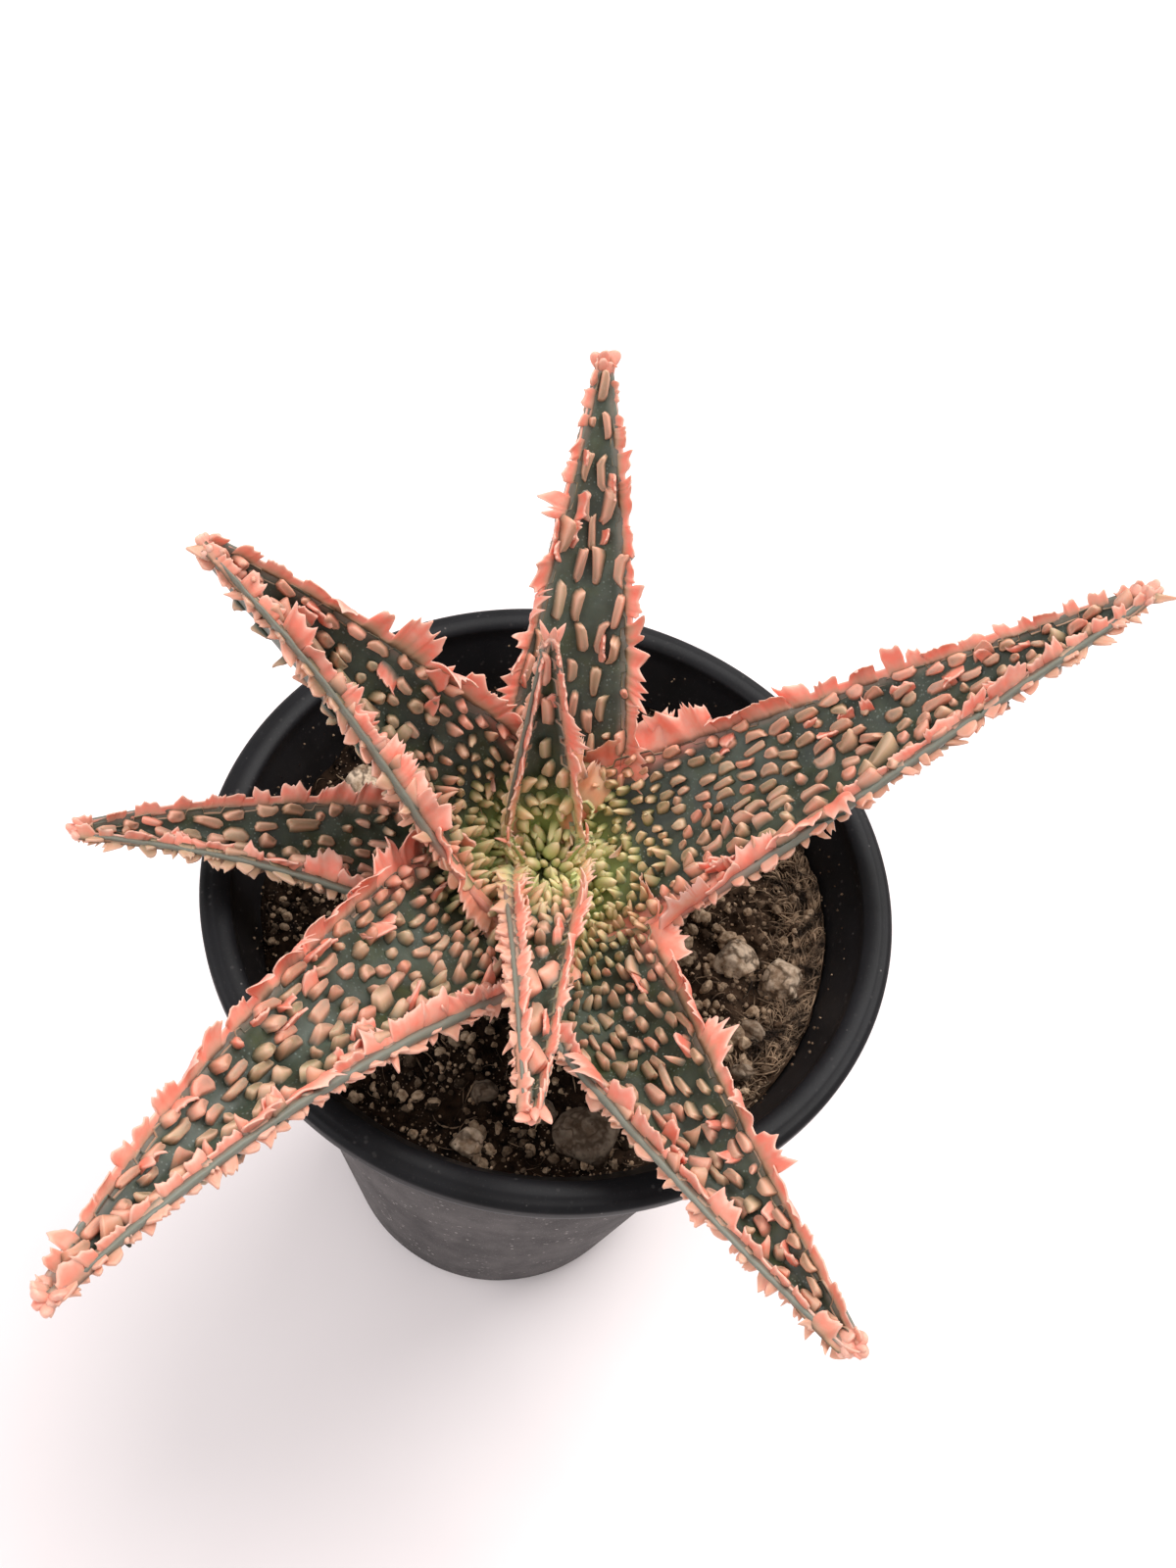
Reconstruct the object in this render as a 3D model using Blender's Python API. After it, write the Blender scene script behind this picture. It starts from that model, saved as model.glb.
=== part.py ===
"""A small hybrid aloe with toothed, pegged leaves, in a plastic nursery pot.

Metres, +Z up, origin at the centre of the pot's flat base. Sizes below are in millimetres
and are turned into metres by MM where points are made.
"""
import math
import random
from collections import namedtuple

import bmesh
import bpy
from mathutils import Vector, noise

MM = 0.001
GAP = 0.3            # air between touching pieces
CUT = 0.4            # how far a cutter stands proud of the piece that it makes room for
CROWDED = "MANIFOLD"  # the exact solver leaves faces that touch among the crowded teeth and pegs

# Pot
RIM_R = 48.0         # outer radius of the rim
POT_H = 102.0
FOOT_R = 28.4
NECK_R = 42.4        # outer radius of the wall just under the rim
NECK_Z = 96.0
MOUTH_R = 43.8       # inner radius at the rim
WALL = 1.3
FLOOR = 2.0
BEAD = 2.6           # height of the rim's outer band
LIP = 2.2            # how far the rim's underside is set in from its edge
POT_SIDES = 52
DRAIN_R = 3.2
DRAIN_CIRCLE = 15.0
DRAINS = 6
DRAIN_SIDES = 12
NOTCHES = 8          # drain notches round the foot
NOTCH_WIDTH = 9.0
NOTCH_HEIGHT = 4.0

# Soil and stem
SOIL_Z = 90.0
SOIL_R = 40.4        # radius at the soil's top
SOIL_LUMP = 1.3
SOIL_RINGS = 12
SOIL_SIDES = 40
PLANT_X = -2.0       # the rosette stands a little left of the pot's axis
STEM_R = 6.0
STEM_SIDES = 14
STEM_TIP_R = 2.4
STEM_FOOT_Z = 74.0
STEM_NECK_Z = 91.0
STEM_TOP_Z = 100.2

# Leaf form
ROOT_R = 2.0         # where each leaf starts, from the stem's axis
TAPER = 0.9
CLASP = 0.84         # width at the root, as a share of the full width
EDGE = 0.7           # thickness of the margin blade
TIP_HALF = 0.8
MID = 0.6            # where the blade turns into its thin margin, as a share of the half width
KEEL = 2.4           # how squarely the underside bulges
FLESH = 0.155        # thickness as a share of the width
RING = 10            # points round a leaf
TOOTH_PITCH = 3.6
MIN_TEETH = 5
TOOTH_LENGTH = (1.4, 3.3)
TOOTH_CURL = (-0.5, 1.3)
MARGIN_INSET = 0.6   # the gaps between teeth lie this far inside the leaf's outline
PEG_PITCH = 7.2
PEG_LANE = 4.6       # half width of blade for each peg across it
PEG_START = 0.14
PEG_REACH = 0.78
PEG_SIZE = ((2.6, 4.8), (1.4, 2.0), (0.9, 1.4))
PEG_BELOW = (3.2, 1.6, 0.9)
PEG_ROOT = 0.8

Leaf = namedtuple("Leaf", "name heading bend rise_base rise_tip length width twist_base twist_tip channel z")
LEAVES = [
    Leaf("heart_leaf_left", 205, 0, 76, 66, 10, 5.4, 0, 0, 0.5, 100.6),
    Leaf("heart_leaf_right", 20, 0, 74, 62, 9, 5.0, 0, 0, 0.5, 100.4),
    Leaf("leaf_young_upright", 113, -3, 73, 71, 36, 12.8, -6, -8, 0.6, 101.2),
    Leaf("leaf_young_front", 277, 0, 47, 20, 56, 12.8, 0, 1, 0.6, 100.4),
    Leaf("leaf_upper_left", 171, -2, 46, 41, 64, 28.0, -13, 7, 0.66, 99.5),
    Leaf("leaf_right", 21, 13, 33, 30, 90, 30.0, 16, -16, 0.28, 97.5),
    Leaf("leaf_lower_left", 241, 9, 33, 14, 90, 29.5, -16, 16, 0.33, 96.5),
    Leaf("leaf_back", 93, 9, 48, 39, 73, 25.0, 10, 8, 0.33, 96.0),
    Leaf("leaf_lower_right", 299, 18, 25, 7, 77, 27.0, -3, 11, 0.42, 94.8),
    Leaf("leaf_left", 192, 7, 25, 9, 62, 22.5, -8, 0, 0.44, 93.6),
]

PERCH = 0.2          # height of a stone's middle above the soil, as a share of its own height
BIG_STONE = 6.0      # stones wider than this have finer facets
Stone = namedtuple("Stone", "name x y wide long high")
STONES = [
    Stone("stone_pumice_inner", 28.3, -1.2, 6.4, 6.8, 5.2),
    Stone("stone_pumice_outer", 34.8, -3.4, 6.6, 7.4, 5.4),
    Stone("stone_large", 12.2, -32.7, 8.6, 7.4, 6.4),
    Stone("stone_beside_large", 5.4, -30.6, 4.0, 3.6, 3.2),
    Stone("stone_pale_front", -3.2, -37.0, 5.0, 3.6, 3.4),
    Stone("stone_brown_front", -2.8, -29.8, 4.0, 3.4, 3.0),
    Stone("stone_beige_back", -31.6, 13.5, 5.2, 5.4, 4.2),
    Stone("stone_small_right", 32.0, -12.0, 3.6, 3.4, 3.0),
    Stone("stone_small_near_wall", 31.6, -18.6, 3.6, 3.2, 2.8),
]

UP = Vector((0, 0, 1))


def clear_scene():
    for thing in list(bpy.data.objects):
        bpy.data.objects.remove(thing, do_unlink=True)


def material(name, colour, roughness):
    made = bpy.data.materials.new(name)
    made.use_nodes = True
    shader = made.node_tree.nodes["Principled BSDF"]
    shader.inputs["Base Color"].default_value = (*colour, 1)
    shader.inputs["Roughness"].default_value = roughness
    shader.inputs["Metallic"].default_value = 0.0
    return made


def smooth(x):
    x = min(max(x, 0.0), 1.0)
    return x * x * (3 - 2 * x)


def make_object(name, points, faces, finish=None):
    """An object from points in millimetres and faces by index."""
    mesh = bpy.data.meshes.new(name)
    mesh.from_pydata([Vector(p) * MM for p in points], [], faces)
    mesh.validate()
    made = bpy.data.objects.new(name, mesh)
    bpy.context.collection.objects.link(made)
    if finish:
        mesh.materials.append(finish)
    return made


def face_outwards(thing):
    shape = bmesh.new()
    shape.from_mesh(thing.data)
    bmesh.ops.recalc_face_normals(shape, faces=shape.faces)
    if shape.calc_volume(signed=True) < 0:
        bmesh.ops.reverse_faces(shape, faces=shape.faces)
    shape.to_mesh(thing.data)
    shape.free()


def apply_modifiers(thing):
    """Replaces the object's mesh by what its modifiers make of it."""
    seen = bpy.context.evaluated_depsgraph_get()
    result = bpy.data.meshes.new_from_object(thing.evaluated_get(seen))
    old = thing.data
    thing.modifiers.clear()
    thing.data = result
    bpy.data.meshes.remove(old)


def join_or_cut(thing, others, operation, solver="EXACT"):
    """One Boolean of thing with a collection of other objects, applied; the others go."""
    group = bpy.data.collections.new(thing.name + "_" + operation.lower())
    bpy.context.scene.collection.children.link(group)
    for other in others:
        bpy.context.collection.objects.unlink(other)
        group.objects.link(other)
    change = thing.modifiers.new(operation.lower(), "BOOLEAN")
    change.operation = operation
    change.operand_type = "COLLECTION"
    change.collection = group
    change.solver = solver
    apply_modifiers(thing)
    for other in list(group.objects):
        bpy.data.objects.remove(other, do_unlink=True)
    bpy.data.collections.remove(group)


def shade_round(thing):
    thing.data.shade_smooth()
    thing.data.set_sharp_from_angle(angle=math.radians(35))


def keep_largest(thing):
    """Drops the loose scraps that a cut leaves behind."""
    shape = bmesh.new()
    shape.from_mesh(thing.data)
    bmesh.ops.remove_doubles(shape, verts=shape.verts, dist=0.002 * MM)
    left = set(shape.faces)
    groups = []
    while left:
        stack = [left.pop()]
        group = set(stack)
        while stack:
            for edge in stack.pop().edges:
                for face in edge.link_faces:
                    if face in left:
                        left.remove(face)
                        group.add(face)
                        stack.append(face)
        groups.append(group)
    groups.sort(key=lambda g: sum(f.calc_area() for f in g), reverse=True)
    scraps = [face for group in groups[1:] for face in group]
    bmesh.ops.delete(shape, geom=scraps, context="FACES")
    loose = [vert for vert in shape.verts if not vert.link_faces]
    bmesh.ops.delete(shape, geom=loose, context="VERTS")
    bmesh.ops.triangulate(shape, faces=shape.faces)
    shape.to_mesh(thing.data)
    shape.free()


def turned(name, profile, sides, finish=None, centre=(0, 0)):
    """A solid turned about +Z from a closed profile of (radius, height) points, in millimetres."""
    points = []
    faces = []
    count = len(profile)
    for side in range(sides):
        turn = math.tau * side / sides
        for radius, height in profile:
            points.append((centre[0] + radius * math.cos(turn), centre[1] + radius * math.sin(turn), height))
    for side in range(sides):
        here = side * count
        there = (side + 1) % sides * count
        for i in range(count):
            j = (i + 1) % count
            faces.append((here + i, there + i, there + j, here + j))
    made = make_object(name, points, faces, finish)
    shape = bmesh.new()
    shape.from_mesh(made.data)
    bmesh.ops.remove_doubles(shape, verts=shape.verts, dist=0.01 * MM)
    bmesh.ops.dissolve_degenerate(shape, edges=shape.edges, dist=0.01 * MM)
    shape.to_mesh(made.data)
    shape.free()
    face_outwards(made)
    return made


def outer_radius(z):
    """Radius of the pot's outer wall at a height."""
    return FOOT_R + (NECK_R - FOOT_R) * z / NECK_Z


def make_pot(finish):
    """The tapered wall, the rolled rim, the floor with its drains and the notches round the foot."""
    bead = (RIM_R - MOUTH_R) / 2
    middle = (RIM_R + MOUTH_R) / 2
    band = POT_H - BEAD
    profile = [(0, 0), (FOOT_R, 0), (NECK_R, NECK_Z), (RIM_R - LIP, band - 0.9), (RIM_R, band)]
    for step in range(5):
        turn = math.pi / 5 * (step + 0.5)
        profile.append((middle + bead * math.cos(turn), POT_H - bead * 0.5 * (1 - math.sin(turn))))
    profile += [
        (MOUTH_R, POT_H - 2.0),
        (NECK_R - WALL, NECK_Z - 1.5),
        (outer_radius(FLOOR) - WALL, FLOOR),
        (0, FLOOR),
    ]
    pot = turned("pot", profile, POT_SIDES, finish)
    hole = [(0, -1), (DRAIN_R, -1), (DRAIN_R, FLOOR + 1), (0, FLOOR + 1)]
    cutters = []
    for number in range(DRAINS):
        turn = math.tau * number / DRAINS
        spot = (DRAIN_CIRCLE * math.cos(turn), DRAIN_CIRCLE * math.sin(turn))
        cutters.append(turned("drain", hole, DRAIN_SIDES, None, spot))
    for number in range(NOTCHES):
        cutters.append(foot_notch(math.tau * (number + 0.5) / NOTCHES))
    join_or_cut(pot, cutters, "DIFFERENCE")
    keep_largest(pot)
    shade_round(pot)


def foot_notch(turn):
    """A wedge that cuts the corner between the wall and the floor."""
    out = Vector((math.cos(turn), math.sin(turn), 0))
    side = Vector((-math.sin(turn), math.cos(turn), 0))
    points = []
    for across in (-NOTCH_WIDTH / 2, NOTCH_WIDTH / 2):
        for radius, height in ((FOOT_R - 3.4, -1.0), (FOOT_R + 4.0, -1.0), (FOOT_R + 4.0, NOTCH_HEIGHT)):
            points.append(out * radius + side * across + UP * height)
    faces = [(0, 2, 1), (3, 4, 5), (0, 1, 4, 3), (1, 2, 5, 4), (2, 0, 3, 5)]
    made = make_object("notch", points, faces)
    face_outwards(made)
    return made


def soil_top(x, y):
    """Height of the soil: broad waves, lumps of grit, and a bank against the wall."""
    radius = math.hypot(x, y)
    broad = noise.noise(Vector((x / 16, y / 16, 3.1)))
    lumps = noise.noise(Vector((x / 4.2, y / 4.2, 7.7)))
    bank = smooth((radius - 33) / 8) * (1.2 + 1.6 * max(x, 0) / SOIL_R)
    hollow = -1.2 * smooth((16 - radius) / 12)
    return SOIL_Z + 1.2 * broad + SOIL_LUMP * lumps + bank + hollow


def make_soil(finish, stones, stem_cutter):
    """The plug of soil, open at the stem, with a dimple under each stone; rings alternate by half a step."""
    points = []
    faces = []
    for ring in range(1, SOIL_RINGS + 1):
        radius = SOIL_R * (ring / SOIL_RINGS) ** 0.9
        for side in range(SOIL_SIDES):
            turn = math.tau * (side + 0.5 * (ring % 2)) / SOIL_SIDES
            x = radius * math.cos(turn)
            y = radius * math.sin(turn)
            points.append((x, y, soil_top(x, y)))
    for ring in range(SOIL_RINGS - 1):
        for side in range(SOIL_SIDES):
            a = ring * SOIL_SIDES + side
            b = ring * SOIL_SIDES + (side + 1) % SOIL_SIDES
            c = a + SOIL_SIDES
            d = b + SOIL_SIDES
            if ring % 2:
                faces += [(a, c, d), (a, d, b)]
            else:
                faces += [(a, c, b), (b, c, d)]
    centre = len(points)
    points.append((0, 0, soil_top(0, 0)))
    for side in range(SOIL_SIDES):
        faces.append((centre, side, (side + 1) % SOIL_SIDES))
    rim = (SOIL_RINGS - 1) * SOIL_SIDES
    low = len(points)
    floor_z = FLOOR + GAP
    low_r = outer_radius(floor_z) - WALL - GAP - 0.3
    for side in range(SOIL_SIDES):
        turn = math.tau * (side + 0.5 * (SOIL_RINGS % 2)) / SOIL_SIDES
        points.append((low_r * math.cos(turn), low_r * math.sin(turn), floor_z))
    for side in range(SOIL_SIDES):
        after = (side + 1) % SOIL_SIDES
        faces.append((rim + side, low + side, low + after, rim + after))
    faces.append(tuple(low + side for side in reversed(range(SOIL_SIDES))))
    soil = make_object("soil", points, faces, finish)
    face_outwards(soil)
    cutters = [stem_cutter] + [make_stone(stone, None, GAP) for stone in stones]
    join_or_cut(soil, cutters, "DIFFERENCE")
    keep_largest(soil)


def make_stone(stone, finish, grow=0.0):
    """An angular pebble, sunk a third into the soil."""
    shape = bmesh.new()
    bmesh.ops.create_icosphere(shape, subdivisions=2 if stone.wide > BIG_STONE else 1, radius=1.0)
    spot = Vector((stone.x, stone.y, soil_top(stone.x, stone.y) + stone.high * PERCH))
    half = Vector((stone.wide / 2, stone.long / 2, stone.high / 2))
    for vert in shape.verts:
        way = vert.co.normalized()
        facet = 1 + 0.28 * noise.noise(way * 1.3 + spot)
        flat = 1 - 0.18 * smooth(abs(way.z) * 2 - 1)
        bulk = Vector((way.x * half.x, way.y * half.y, way.z * half.z)) * facet * flat
        vert.co = (spot + bulk + way * grow) * MM
    mesh = bpy.data.meshes.new(stone.name)
    shape.to_mesh(mesh)
    shape.free()
    made = bpy.data.objects.new(stone.name, mesh)
    bpy.context.collection.objects.link(made)
    if finish:
        mesh.materials.append(finish)
    return made


def make_stem(finish, grow=0.0):
    profile = [
        (0, STEM_FOOT_Z - grow),
        (STEM_R * 0.7 + grow, STEM_FOOT_Z - grow),
        (STEM_R + grow, STEM_FOOT_Z + 3),
        (STEM_R + grow, STEM_NECK_Z),
        (STEM_R * 0.78 + grow, STEM_NECK_Z + 5),
        (STEM_TIP_R + grow, STEM_TOP_Z - 0.8),
        (STEM_TIP_R * 0.4 + grow, STEM_TOP_Z + grow),
        (0, STEM_TOP_Z + grow),
    ]
    return turned("stem", profile, STEM_SIDES, finish, (PLANT_X, 0))


def direction(leaf, s):
    """The way the leaf grows at the share s of its length."""
    rise = math.radians(leaf.rise_base + (leaf.rise_tip - leaf.rise_base) * s)
    turn = math.radians(leaf.heading + leaf.bend * s)
    return Vector((math.cos(rise) * math.cos(turn), math.cos(rise) * math.sin(turn), math.sin(rise)))


def spine(leaf, s):
    """The bottom of the leaf's channel, followed outwards from the stem."""
    turn = math.radians(leaf.heading)
    spot = Vector((PLANT_X + ROOT_R * math.cos(turn), ROOT_R * math.sin(turn), leaf.z))
    steps = 12
    for i in range(steps):
        spot += direction(leaf, s * (i + 0.5) / steps) * (leaf.length * s / steps)
    return spot


def leaf_axes(leaf, s):
    """To the leaf's left, seen from the stem, and up out of its face."""
    along = direction(leaf, s)
    flat_left = UP.cross(along).normalized()
    flat_up = along.cross(flat_left)
    twist = math.radians(leaf.twist_base + (leaf.twist_tip - leaf.twist_base) * s)
    left = flat_left * math.cos(twist) + flat_up * math.sin(twist)
    return left, along.cross(left)


def half_width(leaf, s):
    clasp = CLASP + (1 - CLASP) * smooth(s / 0.18)
    return leaf.width / 2 * (1 - s) ** TAPER * clasp + TIP_HALF * s


def depth(leaf, s):
    """Thickness of the leaf's flesh at its middle."""
    return leaf.width * FLESH * (0.5 + 0.5 * smooth(s / 0.25)) * (1 - s) ** 0.5 + EDGE


def leaf_point(leaf, s, u, lift=0.0, out=0.0):
    """A point at the share s along and u across (-1 right, +1 left), raised by lift, pushed out by out."""
    left, up = leaf_axes(leaf, s)
    half = half_width(leaf, s)
    across = half * u + (out if u > 0 else -out)
    return spine(leaf, s) + left * across + up * (leaf.channel * half * abs(u) ** 1.5 + lift)


def leaf_seed(leaf):
    return sum(ord(letter) for letter in leaf.name)


def flesh_depth(leaf, s, u):
    """How far the underside lies below the face: thick in the middle, a thin blade at the margin."""
    return EDGE + (depth(leaf, s) - EDGE) * (1 - abs(u) ** KEEL)


def tooth_draw(draw, leaf, s):
    """Length, curl and forward lean of one marginal tooth, smaller at the root and the tip."""
    size = 0.9 * (0.45 + 0.55 * smooth(leaf.width * (1 - s) / 14)) * smooth(0.35 + s * 3)
    return draw.uniform(*TOOTH_LENGTH) * size, draw.uniform(*TOOTH_CURL) * size, draw.uniform(0.0, 0.12)


def blade_ring(leaf, s, tooth, on_left, grow, step):
    """Ten points round the leaf: five across the face, left to right, then five back below it."""
    length, curl, lean = tooth
    face = []
    below = []
    for u in (1, MID, 0, -MID, -1):
        if abs(u) < 1:
            face.append(leaf_point(leaf, s, u, grow))
            below.append(leaf_point(leaf, s, u, -flesh_depth(leaf, s, u) - grow))
            continue
        toothed = (u > 0) == on_left
        at = min(s + lean * step, 1.0) if toothed else s
        lift = curl if toothed else 0.0
        out = grow - MARGIN_INSET + (length if toothed else 0.0)
        face.append(leaf_point(leaf, at, u, lift + grow, out))
        below.append(leaf_point(leaf, at, u, lift - EDGE - grow, out))
    return face + below[::-1]


def ring_faces(rings):
    """Triangles between rings of ten, split alike on the face and the underside, and two end caps."""
    faces = []
    half = RING // 2
    for k in range(rings - 1):
        for i in range(RING):
            j = (i + 1) % RING
            a, b = k * RING + i, k * RING + j
            c, d = a + RING, b + RING
            faces += [(a, c, d), (a, d, b)] if i < half else [(a, c, b), (b, c, d)]
    for start in (0, (rings - 1) * RING):
        for i in range(half - 1):
            above, after = start + i, start + i + 1
            under, before = start + RING - 1 - i, start + RING - 2 - i
            faces += [(above, after, before), (above, before, under)]
    return faces


def make_blade(leaf, finish, grow=0.0):
    """The leaf's body with its toothed margin; the teeth on its two sides alternate."""
    draw = random.Random(leaf_seed(leaf))
    stations = 2 * max(MIN_TEETH, round(leaf.length / TOOTH_PITCH))
    points = []
    for k in range(stations + 1):
        s = k / stations
        ring = blade_ring(leaf, s, tooth_draw(draw, leaf, s), k % 2 == 0, grow, 1 / stations)
        if k in (0, stations):
            ahead = direction(leaf, s) * (grow if k else -grow)
            ring = [point + ahead for point in ring]
        points += ring
    blade = make_object(leaf.name, points, ring_faces(stations + 1), finish)
    face_outwards(blade)
    return blade


def make_peg(leaf, s, u, size, grow, below=False):
    """A raised peg: a hipped ridge along the leaf, rooted well inside the flesh."""
    long, wide, high = size[0] + 3 * grow, size[1] + 3 * grow, size[2] + grow
    along = direction(leaf, s)
    across = (leaf_point(leaf, s, u + 0.02) - leaf_point(leaf, s, u - 0.02)).normalized()
    out = along.cross(across).normalized()
    spot = leaf_point(leaf, s, u)
    if below:
        spot = leaf_point(leaf, s, u, -flesh_depth(leaf, s, u))
        out = -out
    points = []
    for forward, side in ((-1, -1), (1, -1), (1, 1), (-1, 1)):
        points.append(spot + along * (forward * long / 2) + across * (side * wide / 2) - out * PEG_ROOT)
    for forward in (-0.62, 0.78):
        points.append(spot + along * (forward * long / 2) + out * high)
    faces = [(3, 2, 1, 0), (0, 1, 5, 4), (2, 3, 4, 5), (1, 2, 5), (3, 0, 4)]
    made = make_object("peg", points, faces)
    face_outwards(made)
    return made


def leaf_pegs(leaf, grow):
    """Pegs in staggered rows on the face, and fewer on the underside."""
    draw = random.Random(leaf_seed(leaf) + 7)
    pegs = []
    rows = max(2, round(leaf.length / PEG_PITCH))
    pitch = PEG_REACH / rows
    for row in range(rows):
        s = PEG_START + pitch * (row + 0.5)
        lanes = max(1, round(half_width(leaf, s) / PEG_LANE))
        stagger = 0.16 if row % 2 else -0.16
        for lane in range(lanes):
            u = 0.0 if lanes == 1 else stagger - 0.62 + 1.24 * lane / (lanes - 1)
            u = max(-0.8, min(0.8, u + draw.uniform(-0.1, 0.1)))
            at = s + draw.uniform(-0.25, 0.25) * pitch
            size = [draw.uniform(*span) for span in PEG_SIZE]
            pegs.append(make_peg(leaf, at, u, size, grow))
        if row % 2 and s > 0.4:
            side = draw.choice((-0.55, 0.0, 0.55))
            pegs.append(make_peg(leaf, s, side, PEG_BELOW, grow, below=True))
    return pegs


def make_leaf(leaf, finish, grow=0.0):
    """One leaf with its pegs; grow makes the slightly larger copy that cuts its neighbours."""
    made = make_blade(leaf, finish, grow)
    join_or_cut(made, leaf_pegs(leaf, grow), "UNION", CROWDED)
    return made


def make_plant(green, stem_finish):
    """The stem and its leaves, from the heart outwards; each leaf gives way to those above it."""
    shade_round(make_stem(stem_finish))
    above = []
    for leaf in LEAVES:
        blade = make_leaf(leaf, green)
        for other in above:
            join_or_cut(blade, [make_leaf(other, None, CUT)], "DIFFERENCE", CROWDED)
        join_or_cut(blade, [make_stem(None, CUT)], "DIFFERENCE", CROWDED)
        keep_largest(blade)
        blade.name = leaf.name
        above.append(leaf)


def main():
    clear_scene()
    black_plastic = material("pot_plastic", (0.035, 0.038, 0.043), 0.55)
    soil_mix = material("soil_mix", (0.05, 0.035, 0.025), 0.95)
    leaf_green = material("leaf_green", (0.07, 0.13, 0.10), 0.5)
    stem_green = material("stem_green", (0.35, 0.42, 0.18), 0.6)
    pumice = material("pumice", (0.38, 0.33, 0.27), 0.9)
    make_pot(black_plastic)
    make_soil(soil_mix, STONES, make_stem(None, CUT))
    for stone in STONES:
        make_stone(stone, pumice)
    make_plant(leaf_green, stem_green)


main()
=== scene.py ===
"""Looks of the potted aloe: fleshy leaves with raised pegs and torn coral margins, gritty soil with
pumice, and a dusty black nursery pot. Sizes are in millimetres, turned into metres by MM where
meshes are made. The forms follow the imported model's own leaves, soil and pot.
"""
import math
from collections import namedtuple

import bmesh
import bpy
import numpy as np
from mathutils import Matrix, Vector, noise


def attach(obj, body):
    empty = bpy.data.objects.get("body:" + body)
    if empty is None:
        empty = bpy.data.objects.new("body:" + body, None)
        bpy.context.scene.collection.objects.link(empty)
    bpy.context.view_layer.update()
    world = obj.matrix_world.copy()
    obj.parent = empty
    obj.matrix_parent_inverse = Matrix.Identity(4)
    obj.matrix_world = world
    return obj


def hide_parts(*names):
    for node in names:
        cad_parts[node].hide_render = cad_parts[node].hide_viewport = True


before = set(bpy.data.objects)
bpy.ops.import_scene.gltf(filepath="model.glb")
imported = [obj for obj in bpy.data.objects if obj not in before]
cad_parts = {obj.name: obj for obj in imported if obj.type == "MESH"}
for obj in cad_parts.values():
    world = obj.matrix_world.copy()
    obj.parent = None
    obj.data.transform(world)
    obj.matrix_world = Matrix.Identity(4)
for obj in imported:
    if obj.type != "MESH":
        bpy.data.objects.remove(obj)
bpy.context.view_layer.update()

MM = 0.001
BODY = "root"

# Pot, as in the model
RIM_R = 48.0
POT_H = 102.0
FOOT_R = 28.4
NECK_R = 42.4
NECK_Z = 96.0
MOUTH_R = 43.8
WALL = 1.3
FLOOR_T = 2.0
BEAD = 2.6
LIP = 2.2
DRAINS = 6
DRAIN_R = 3.2
DRAIN_CIRCLE = 15.0
DRAIN_SIDES = 24
NOTCHES = 8
NOTCH_WIDTH = 9.0
NOTCH_HEIGHT = 4.0
POT_SIDES = 240

# Soil and stem, as in the model
SOIL_Z = 90.0
SOIL_R = 40.4
SOIL_LUMP = 1.3
PLANT_X = -2.0
HEART = np.array([PLANT_X, 0.0, 101.0])
HEART_NUBS = 110
HEART_REACH = 8.5
GOLDEN = 2.39996     # the turn between neighbours, in radians

# Leaf form, as in the model
ROOT_R = 2.0
TAPER = 0.9
CLASP = 0.84
KEEL = 2.4
FLESH = 0.155
EDGE = 0.7
TIP_HALF = 0.8
RIM_THICK = 2.5      # of the widest leaves
WIDEST = 30
SLIM = 14            # narrower leaves are the young ones

LEAF_FACTS = "name heading bend rise_base rise_tip length width twist_base twist_tip channel z"
LEAF_LOOKS = "margin warm peg_gap peg_wide fold stand"
Leaf = namedtuple("Leaf", LEAF_FACTS + " " + LEAF_LOOKS)
LEAVES = [
    Leaf("heart_leaf_left", 205, 0, 76, 66, 10, 5.4, 0, 0, 0.5, 100.6, 0.35, 0.2, 1.0, 1.0, 0.0, 0.5),
    Leaf("heart_leaf_right", 20, 0, 74, 62, 9, 5.0, 0, 0, 0.5, 100.4, 0.35, 0.2, 1.0, 1.0, 0.0, 0.5),
    Leaf("leaf_young_upright", 113, -3, 73, 71, 36, 12.8, -6, -8, 0.6, 101.2, 0.9, 0.7, 1.2, 0.95, 0.2, 0.6),
    Leaf("leaf_young_front", 277, 0, 47, 20, 56, 12.8, 0, 1, 0.6, 100.4, 0.9, 0.9, 0.95, 0.95, 0.0, 2.2),
    Leaf("leaf_upper_left", 171, -2, 46, 41, 64, 28.0, -13, 7, 0.66, 99.5, 1.2, 0.8, 0.82, 1.0, 0.5, 1.0),
    Leaf("leaf_right", 21, 13, 33, 30, 90, 30.0, 16, -16, 0.28, 97.5, 1.05, 0.7, 0.85, 1.0, 0.8, 1.0),
    Leaf("leaf_lower_left", 241, 9, 33, 14, 90, 29.5, -16, 16, 0.33, 96.5, 1.05, 0.8, 0.9, 1.0, 0.8, 1.0),
    Leaf("leaf_back", 93, 9, 48, 39, 73, 25.0, 10, 8, 0.33, 96.0, 0.95, 0.6, 1.35, 0.75, 0.0, 0.0),
    Leaf("leaf_lower_right", 299, 18, 25, 7, 77, 27.0, -3, 11, 0.42, 94.8, 1.0, 0.45, 0.83, 0.9, 0.7, 1.0),
    Leaf("leaf_left", 192, 7, 25, 9, 62, 22.5, -8, 0, 0.44, 93.6, 0.85, 0.35, 0.85, 1.0, 0.8, 1.0),
]

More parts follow.
